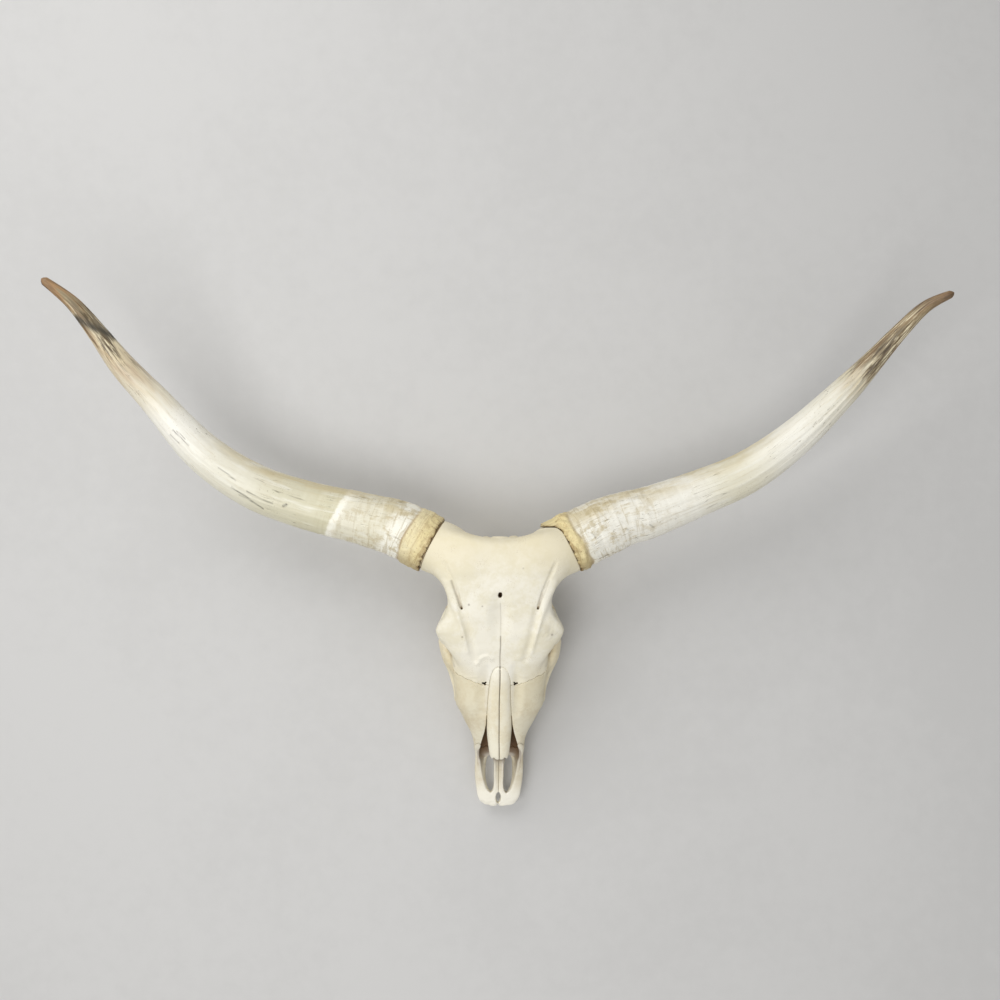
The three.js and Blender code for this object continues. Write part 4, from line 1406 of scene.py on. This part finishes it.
def bone_material(name, look):
    """Dry bone: two tones in patches, yellowed by place with painted shade on the face, paler at the muzzle
    tip with a painted highlight on the nasal root, then soil with painted shade and highlight, lines and
    pores.
    """
    material, tree, shader = new_finish(name)
    place = add(tree, "ShaderNodeTexCoord").outputs["Object"]
    mottled = placed_group(tree, MOTTLING, {"Place": place, "First": look["pale"], "Second": look["warm"]})
    # Yellowed near the poll, with painted shade on the face.
    yellowed_and_shaded = over(tree, mottled["Colour"], YELLOWED_AND_SHADED_BONE, mark(tree, "yellowed_and_shaded"), 0.65)
    inputs = {
        # Paler towards the muzzle tip, with a painted highlight on the nasal root.
        "Colour": over(tree, yellowed_and_shaded, PALE_TIP_AND_HIGHLIGHT_BONE, mark(tree, "pale_tip_and_highlight"), 0.8),
        "Stain": look["stain"],
        "Deep Shade": DEEP_PAINTED_SHADE,
        "Line": SUTURE_AND_SHADE_LINE,
        "Place": place,
        "Hollow": mark(tree, "hollow"),
        "Depth": mark(tree, "depth"),
        "Lines And Shade": mark(tree, "suture"),
    }
    soiled_and_shaded = placed_group(tree, SOIL_AND_SHADE, inputs)
    pores = placed_group(tree, PORES, {"Place": place})
    pitted = over(tree, soiled_and_shaded["Colour"], look["stain"], pores["Pits"], 0.45)
    tree.links.new(pitted, shader.inputs["Base Color"])
    rough = ranged(tree, mottled["Patches"], 0.0, 1.0, look["shine"] - 0.05, look["shine"] + 0.12)
    tree.links.new(rough, shader.inputs["Roughness"])
    bumped(tree, shader, pores["Height"], 0.35, 0.0012)
    shader.inputs["Specular IOR Level"].default_value = 0.4
    return material


def tooth_material():
    """Enamel in two tones, with the enamel folds pale on a darker worn face."""
    material, tree, shader = new_finish("tooth_enamel")
    place = add(tree, "ShaderNodeTexCoord").outputs["Object"]
    worn = mark(tree, "worn")
    inputs = {
        "Place": place,
        "Patch Scale": 60.0,
        "Fleck Scale": 300.0,
        "First": colour(224, 212, 182),
        "Second": colour(176, 154, 112),
    }
    mottled = placed_group(tree, MOTTLING, inputs)
    chewed = mix(tree, ranged(tree, worn, 0.30, 0.62), colour(236, 228, 206), colour(118, 94, 66))
    on_face = ranged(tree, worn, 0.95, 0.80)
    tree.links.new(mix(tree, on_face, mottled["Colour"], chewed), shader.inputs["Base Color"])
    tree.links.new(ranged(tree, mottled["Patches"], 0.0, 1.0, 0.3, 0.5), shader.inputs["Roughness"])
    bumped(tree, shader, streaks(tree, place, 0.12, 700.0, 3.0), 0.3, 0.0008)
    return material


def ramp(tree, value, stops):
    """The colour at a value from 0 to 1, through stops of (place, colour)."""
    node = add(tree, "ShaderNodeValToRGB", {"Fac": value})
    node.color_ramp.interpolation = "EASE"
    points = node.color_ramp.elements
    while len(points) < len(stops):
        points.new(0.5)
    for point, (place, look) in zip(points, stops):
        point.position = place
        point.color = look
    return node.outputs["Color"]


# Tones of the horns' ground, of the layers over it and of the band at the rim
WHITE_HORN = colour(244, 241, 229)
CREAM_HORN = colour(228, 223, 201)
GREENISH_HORN = colour(213, 208, 179)
HORN_TONES = {
    "fibre": colour(200, 184, 144),
    "white": colour(244, 242, 230),
    "hair": colour(112, 102, 80),
    "speck": colour(140, 124, 90),
    "dust": colour(206, 190, 146),
    "stain": colour(190, 173, 130),
    "ring": colour(178, 162, 122),
    "scratch": colour(132, 116, 82),
    "layer_edge": colour(150, 134, 94),
    "tip_dark": colour(84, 70, 50),
    "tip_rust": colour(180, 144, 102),
    "tip_light": colour(228, 216, 184),
    "fleck": colour(78, 72, 60),
}
BAND_TONES = {
    "yellow": colour(232, 215, 160),
    "tan": colour(208, 186, 134),
    "ring": colour(188, 162, 108),
    "cloud": colour(240, 230, 196),
    "outer": colour(240, 232, 198),
    # Painted shade on the front, lower side of the band.
    "front": colour(156, 136, 92),
    "pit": colour(146, 118, 70),
    "border": colour(160, 132, 84),
    # Brown edge of the rim, also painted shade in its gap and in the socket.
    "rim": colour(112, 82, 46),
}

# What sets the two horns apart. "band", "lip", "slant" and "blunt" are millimetres, "rough" and "layer" are
# heights of relief, "ring" and "dark_from" are shares of the length. The stops give the ground colour.
LEFT_LOOK = {
    "seed": 21,
    "band": 26,
    "rough": 1.0,
    "lip": 30,
    "layer": 0.0,
    "slant": 0.0,
    "blunt": 7.0,
    "ring": 0.192,
    "ring_shows": 0.3,
    "band_pale": 0.1,
    "dark_from": 0.69,
    "dark_over": 0.09,
    "flecks": LEFT_FLECKS,
    "stops": [
        (0.00, CREAM_HORN),
        (0.06, WHITE_HORN),
        (0.28, WHITE_HORN),
        (0.40, CREAM_HORN),
        (0.56, WHITE_HORN),
        (0.68, colour(234, 230, 214)),
        (0.735, colour(212, 204, 180)),
        (0.785, colour(150, 134, 104)),
        (0.84, colour(122, 108, 84)),
        (0.90, colour(152, 132, 98)),
        (0.95, colour(128, 104, 74)),
        (1.00, colour(122, 94, 66)),
    ],
}
RIGHT_LOOK = {
    "seed": 57,
    "band": 48,
    "rough": 0.35,
    "lip": 0,
    "layer": 0.7,
    "slant": 13.0,
    "blunt": 7.0,
    "ring": 0.104,
    "ring_shows": 0.8,
    "band_pale": 0.4,
    "dark_from": 0.68,
    "dark_over": 0.19,
    "flecks": RIGHT_FLECKS,
    "stops": [
        (0.00, WHITE_HORN),
        (0.085, colour(248, 245, 230)),
        (0.11, colour(224, 218, 194)),
        (0.195, colour(228, 223, 202)),
        # A narrow painted highlight along the edge of the worn layer.
        (0.207, colour(252, 249, 234)),
        (0.2145, colour(252, 249, 234)),
        (0.2165, GREENISH_HORN),
        (0.32, colour(216, 211, 185)),
        (0.46, colour(234, 230, 212)),
        (0.62, colour(250, 247, 236)),
        (0.70, colour(236, 228, 206)),
        (0.765, colour(214, 198, 170)),
        (0.82, colour(222, 206, 172)),
        (0.86, colour(128, 116, 96)),
        (0.915, colour(152, 136, 106)),
        (0.95, colour(164, 130, 92)),
        (1.00, colour(126, 96, 66)),
    ],
}


def horn_grain_group():
    """How a horn's grain runs, and how far towards its tip or base a place lies."""
    inputs = [("Place", "Vector", None), ("Share", "Float", 0.0)]
    outputs = ("Fine", "Broad", "Clouds", "Rings", "Scabs", "Tipward", "Baseward", "Moved")
    group, given, result = new_group("horn_grain", inputs, [(name, "Float") for name in outputs])
    place, share = given["Place"], given["Share"]
    broad = streaks(group, place, 0.10, 85.0, 3.0, 0.55)
    tipward = ranged(group, share, 0.62, 0.84)
    sway = maths(group, "MULTIPLY_ADD", tipward, 0.26, 0.012)
    drift = times(group, maths(group, "SUBTRACT", broad, 0.5), sway)
    values = (
        streaks(group, place, 0.04, 330.0, 3.0, 0.6),
        broad,
        noise(group, place, 17.0, 4.0, 0.6),
        noise(group, stretched(group, place, (0.14, 0.14, 1.0)), 135.0, 3.0, 0.6, 0.9),
        streaks(group, place, 0.8, 120.0, 4.0, 0.65),
        tipward,
        ranged(group, share, 0.30, 0.07),
        maths(group, "ADD", share, drift),
    )
    for name, value in zip(outputs, values):
        group.links.new(value, result[name])
    return group


def new_layer(name, *values):
    """A group that lays one layer of a horn's finish over a colour, by the named values."""
    inputs = [("Colour", "Color", (1, 1, 1, 1)), ("Place", "Vector", None)]
    return new_group(name, inputs + [(value, "Float", 0.0) for value in values], [("Colour", "Color")])


def horn_fibre_group():
    """Long fibres all along, hair cracks and specks."""
    group, given, result = new_layer("horn_fibres", "Share", "Fine", "Broad")
    place, tones = given["Place"], HORN_TONES
    tint = over(group, given["Colour"], tones["fibre"], ranged(group, given["Fine"], 0.54, 0.72, 0.0, 0.30))
    pale = ranged(group, given["Broad"], 0.55, 0.68, 0.0, 0.45)
    tint = over(group, tint, tones["white"], pale, ranged(group, given["Share"], 0.8, 0.7))
    hairs = maths(group, "SUBTRACT", streaks(group, place, 0.025, 130.0, 2.0, 0.5), 0.5)
    hairs = ranged(group, maths(group, "ABSOLUTE", hairs), 0.010, 0.0)
    some = ranged(group, noise(group, place, 13.0, 2.0), 0.47, 0.58)
    tint = over(group, tint, tones["hair"], hairs, some, 0.7)
    specks = ranged(group, noise(group, place, 430.0, 2.0, 0.5), 0.64, 0.72)
    dirty = ranged(group, noise(group, place, 10.0, 2.0), 0.46, 0.62)
    group.links.new(over(group, tint, tones["speck"], specks, dirty, 0.55), result["Colour"])
    return group


def horn_dirt_group():
    """Dirt that has settled on the back, then stained patches and the marks round the horn near its base."""
    values = ("Share", "Across", "Moved", "Baseward", "Rings", "Clouds", "Ring Place", "Ring Shows")
    group, given, result = new_layer("horn_dirt", *values)
    place, rings, baseward, tones = given["Place"], given["Rings"], given["Baseward"], HORN_TONES
    dusty = ranged(group, streaks(group, place, 0.3, 34.0, 4.0, 0.6), 0.36, 0.62, 0.0, 0.75)
    behind = ranged(group, given["Across"], 0.008, 0.042)
    towards_base = ranged(group, given["Share"], 0.62, 0.42, 0.15, 1.0)
    tint = over(group, given["Colour"], tones["dust"], dusty, behind, towards_base)
    stains = ranged(group, streaks(group, place, 0.55, 62.0, 5.0, 0.7), 0.49, 0.63, 0.0, 0.7)
    tint = over(group, tint, tones["stain"], stains, maths(group, "MULTIPLY_ADD", baseward, 0.8, 0.12))
    tint = over(group, tint, tones["ring"], ranged(group, rings, 0.54, 0.62, 0.0, 0.45), baseward)
    tint = over(group, tint, tones["white"], ranged(group, rings, 0.45, 0.36, 0.0, 0.25), baseward)
    cloudy = ranged(group, given["Clouds"], 0.40, 0.60)
    scratches = ranged(group, streaks(group, place, 0.12, 210.0, 3.0, 0.6, 0.5), 0.60, 0.68, 0.0, 0.7)
    tint = over(group, tint, tones["scratch"], scratches, baseward, cloudy)
    from_ring = maths(group, "ABSOLUTE", maths(group, "SUBTRACT", given["Moved"], given["Ring Place"]))
    on_ring = ranged(group, from_ring, 0.006, 0.0, 0.0, given["Ring Shows"])
    group.links.new(over(group, tint, tones["layer_edge"], on_ring, cloudy), result["Colour"])
    return group


def horn_tip_group():
    """Dark, rusty and light streaks towards the tip."""
    values = ("Share", "Fine", "Broad", "Tipward", "Dark From", "Dark To")
    group, given, result = new_layer("horn_tip", *values)
    share, fine, tipward, tones = given["Share"], given["Fine"], given["Tipward"], HORN_TONES
    darkening = ranged(group, share, given["Dark From"], given["Dark To"])
    uneven = ranged(group, given["Broad"], 0.42, 0.58, 0.15, 1.0)
    dark = ranged(group, fine, 0.51, 0.41, 0.0, 0.95)
    tint = over(group, given["Colour"], tones["tip_dark"], dark, darkening, uneven)
    rusty = ranged(group, streaks(group, given["Place"], 0.12, 60.0, 2.0, 0.5), 0.50, 0.62, 0.0, 0.32)
    tint = over(group, tint, tones["tip_rust"], rusty, tipward)
    light = ranged(group, fine, 0.53, 0.63, 0.0, 0.9)
    tint = over(group, tint, tones["tip_light"], light, tipward, ranged(group, share, 0.96, 0.88))
    group.links.new(tint, result["Colour"])
    return group


def horn_band_group():
    """The rough yellow band at the rim, with its dark border and edge, painted shade on its front, lower
    side, and brown with painted shade at the rim and in the socket.
    """
    values = ("Across", "Along", "Rings", "Clouds", "Scabs", "Band", "Rim")
    group, given, result = new_layer("horn_band", *values, "Pale From", "Pale To", "Band Pale")
    scabs, clouds, band, tones = given["Scabs"], given["Clouds"], given["Band"], BAND_TONES
    banded = mix(group, ranged(group, scabs, 0.46, 0.66, 0.0, 0.9), tones["yellow"], tones["tan"])
    banded = over(group, banded, tones["ring"], ranged(group, given["Rings"], 0.52, 0.62, 0.0, 0.6))
    banded = over(group, banded, tones["cloud"], ranged(group, clouds, 0.54, 0.68, 0.0, 0.7))
    outer = ranged(group, given["Along"], given["Pale From"], given["Pale To"], 0.0, given["Band Pale"])
    banded = over(group, banded, tones["outer"], outer)
    # Painted shade on the band's front, lower side.
    banded = over(group, banded, tones["front"], ranged(group, given["Across"], -0.026, -0.050, 0.0, 0.55))
    pits = ranged(group, noise(group, given["Place"], 300.0, 3.0, 0.6), 0.60, 0.68, 0.0, 0.6)
    banded = over(group, banded, tones["pit"], pits)
    tint = over(group, given["Colour"], banded, band, 0.94)
    border = times(group, band, maths(group, "SUBTRACT", 1.0, band), 3.0)
    tint = over(group, tint, tones["border"], border, ranged(group, clouds, 0.38, 0.58, 0.35, 1.0))
    # Brown edge and painted shade at the rim and inside the socket.
    tint = over(group, tint, tones["rim"], given["Rim"], ranged(group, scabs, 0.40, 0.60, 0.3, 0.95))
    group.links.new(tint, result["Colour"])
    return group


HORN_GRAIN = horn_grain_group()
HORN_LAYERS = [horn_fibre_group(), horn_dirt_group(), horn_tip_group(), horn_band_group()]


def laid(tree, group, tint, known):
    """A layer laid over a colour, given the known values that its group asks for."""
    asked = {socket.name for socket in group.interface.items_tree if socket.in_out == "INPUT"}
    inputs = {name: value for name, value in known.items() if name in asked}
    return placed_group(tree, group, {"Colour": tint, **inputs})["Colour"]


def horn_material(name, look):
    """Horn: the ground colour from rim to tip, with its fibres, dirt, tip, band and flecks laid over it."""
    material, tree, shader = new_finish(name)
    grain, share, band = mark(tree, "grain", vector=True), mark(tree, "share"), mark(tree, "band")
    offset = (look["seed"] * 0.37, 0.0, look["seed"] * 0.11)
    place = add(tree, "ShaderNodeVectorMath", {0: grain, 1: offset}, operation="ADD").outputs[0]
    apart = add(tree, "ShaderNodeSeparateXYZ", {0: grain}).outputs
    runs = placed_group(tree, HORN_GRAIN, {"Place": place, "Share": share})
    known = {
        **dict(runs.items()),
        "Place": place,
        "Share": share,
        "Across": apart[0],
        "Along": apart[2],
        "Band": band,
        "Rim": mark(tree, "rim"),
        "Ring Place": look["ring"],
        "Ring Shows": look["ring_shows"],
        "Dark From": look["dark_from"],
        "Dark To": look["dark_from"] + look["dark_over"],
        "Pale From": look["band"] * MM * 0.3,
        "Pale To": look["band"] * MM * 0.8,
        "Band Pale": look["band_pale"],
    }
    tint = ramp(tree, runs["Moved"], look["stops"])
    for layer in HORN_LAYERS:
        tint = laid(tree, layer, tint, known)
    flecked = ranged(tree, runs["Fine"], 0.40, 0.55, 0.55, 1.0)
    tint = over(tree, tint, HORN_TONES["fleck"], mark(tree, "fleck"), flecked)
    tree.links.new(tint, shader.inputs["Base Color"])
    gloss = maths(tree, "ADD", ranged(tree, runs["Fine"], 0.3, 0.7, 0.32, 0.48), times(tree, band, 0.2))
    tree.links.new(gloss, shader.inputs["Roughness"])
    scabby = times(tree, runs["Scabs"], band, 1.8)
    bumped(tree, shader, maths(tree, "ADD", times(tree, runs["Fine"], 0.9), scabby), 0.4, 0.001)
    return material


def floor_material():
    material, tree, shader = new_finish("studio_floor")
    place = add(tree, "ShaderNodeTexCoord").outputs["Object"]
    inputs = {
        "Place": place,
        "Patch Scale": 1.5,
        "Fleck Scale": 30.0,
        "First": colour(206, 205, 203),
        "Second": colour(202, 201, 199),
    }
    look = placed_group(tree, MOTTLING, inputs)
    tree.links.new(look["Colour"], shader.inputs["Base Color"])
    shader.inputs["Roughness"].default_value = 0.9
    return material


# ---------------- studio

CAMERA_HEIGHT = 2.3
CAMERA_BEHIND = 0.068  # how far behind the poll the camera hangs
HALF_VIEW = 1.015  # half of what the camera sees at the floor
SENSOR = 36.0
FLOOR_HALF = 8.0
# The lamps: name, place, size and power
LAMPS = [
    ("sky_softbox", (-1.3, 2.1, 2.2), 2.0, 44),
    ("fill_softbox", (1.4, -2.0, 2.6), 2.2, 8),
    ("over_softbox", (-0.9, -0.95, 3.0), 1.8, 42),
]
LAMP_AIM = Vector((0, 0, 0.1))


def make_floor():
    """A wide pale floor, which is the stage."""
    mesh = bpy.data.meshes.new("floor")
    turns = ((-1, -1), (1, -1), (1, 1), (-1, 1))
    corners = [(POLL.x + x * FLOOR_HALF, POLL.y + y * FLOOR_HALF, 0) for x, y in turns]
    mesh.from_pydata(corners, [], [(0, 1, 2, 3)])
    mesh.materials.append(floor_material())
    shown("floor", mesh)


def make_camera():
    """A camera that looks straight down, with the nose towards the lower edge of the view."""
    data = bpy.data.cameras.new("camera")
    data.sensor_width = SENSOR
    data.lens = SENSOR / 2 * CAMERA_HEIGHT / HALF_VIEW
    camera = shown("camera", data)
    camera.location = (POLL.x, POLL.y + CAMERA_BEHIND, CAMERA_HEIGHT)
    bpy.context.scene.camera = camera


def make_light():
    """Three soft lamps and an even pale sky."""
    for name, place, size, power in LAMPS:
        data = bpy.data.lights.new(name, "AREA")
        data.size = size
        data.energy = power
        lamp = shown(name, data)
        lamp.location = place
        lamp.rotation_euler = (LAMP_AIM - lamp.location).to_track_quat("-Z", "Y").to_euler()
    world = bpy.data.worlds.new("studio")
    world.use_nodes = True
    background = world.node_tree.nodes["Background"].inputs
    background["Color"].default_value = (1.0, 1.0, 1.0, 1.0)
    background["Strength"].default_value = 0.40
    bpy.context.scene.world = world
    bpy.context.scene.view_settings.view_transform = "Standard"


# ---------------- the whole skull

make_floor()
make_camera()
make_light()
make_bones()
make_teeth()
make_horn("left", LEFT_HORN, 1, LEFT_LOOK)
make_horn("right", RIGHT_HORN, -1, RIGHT_LOOK)
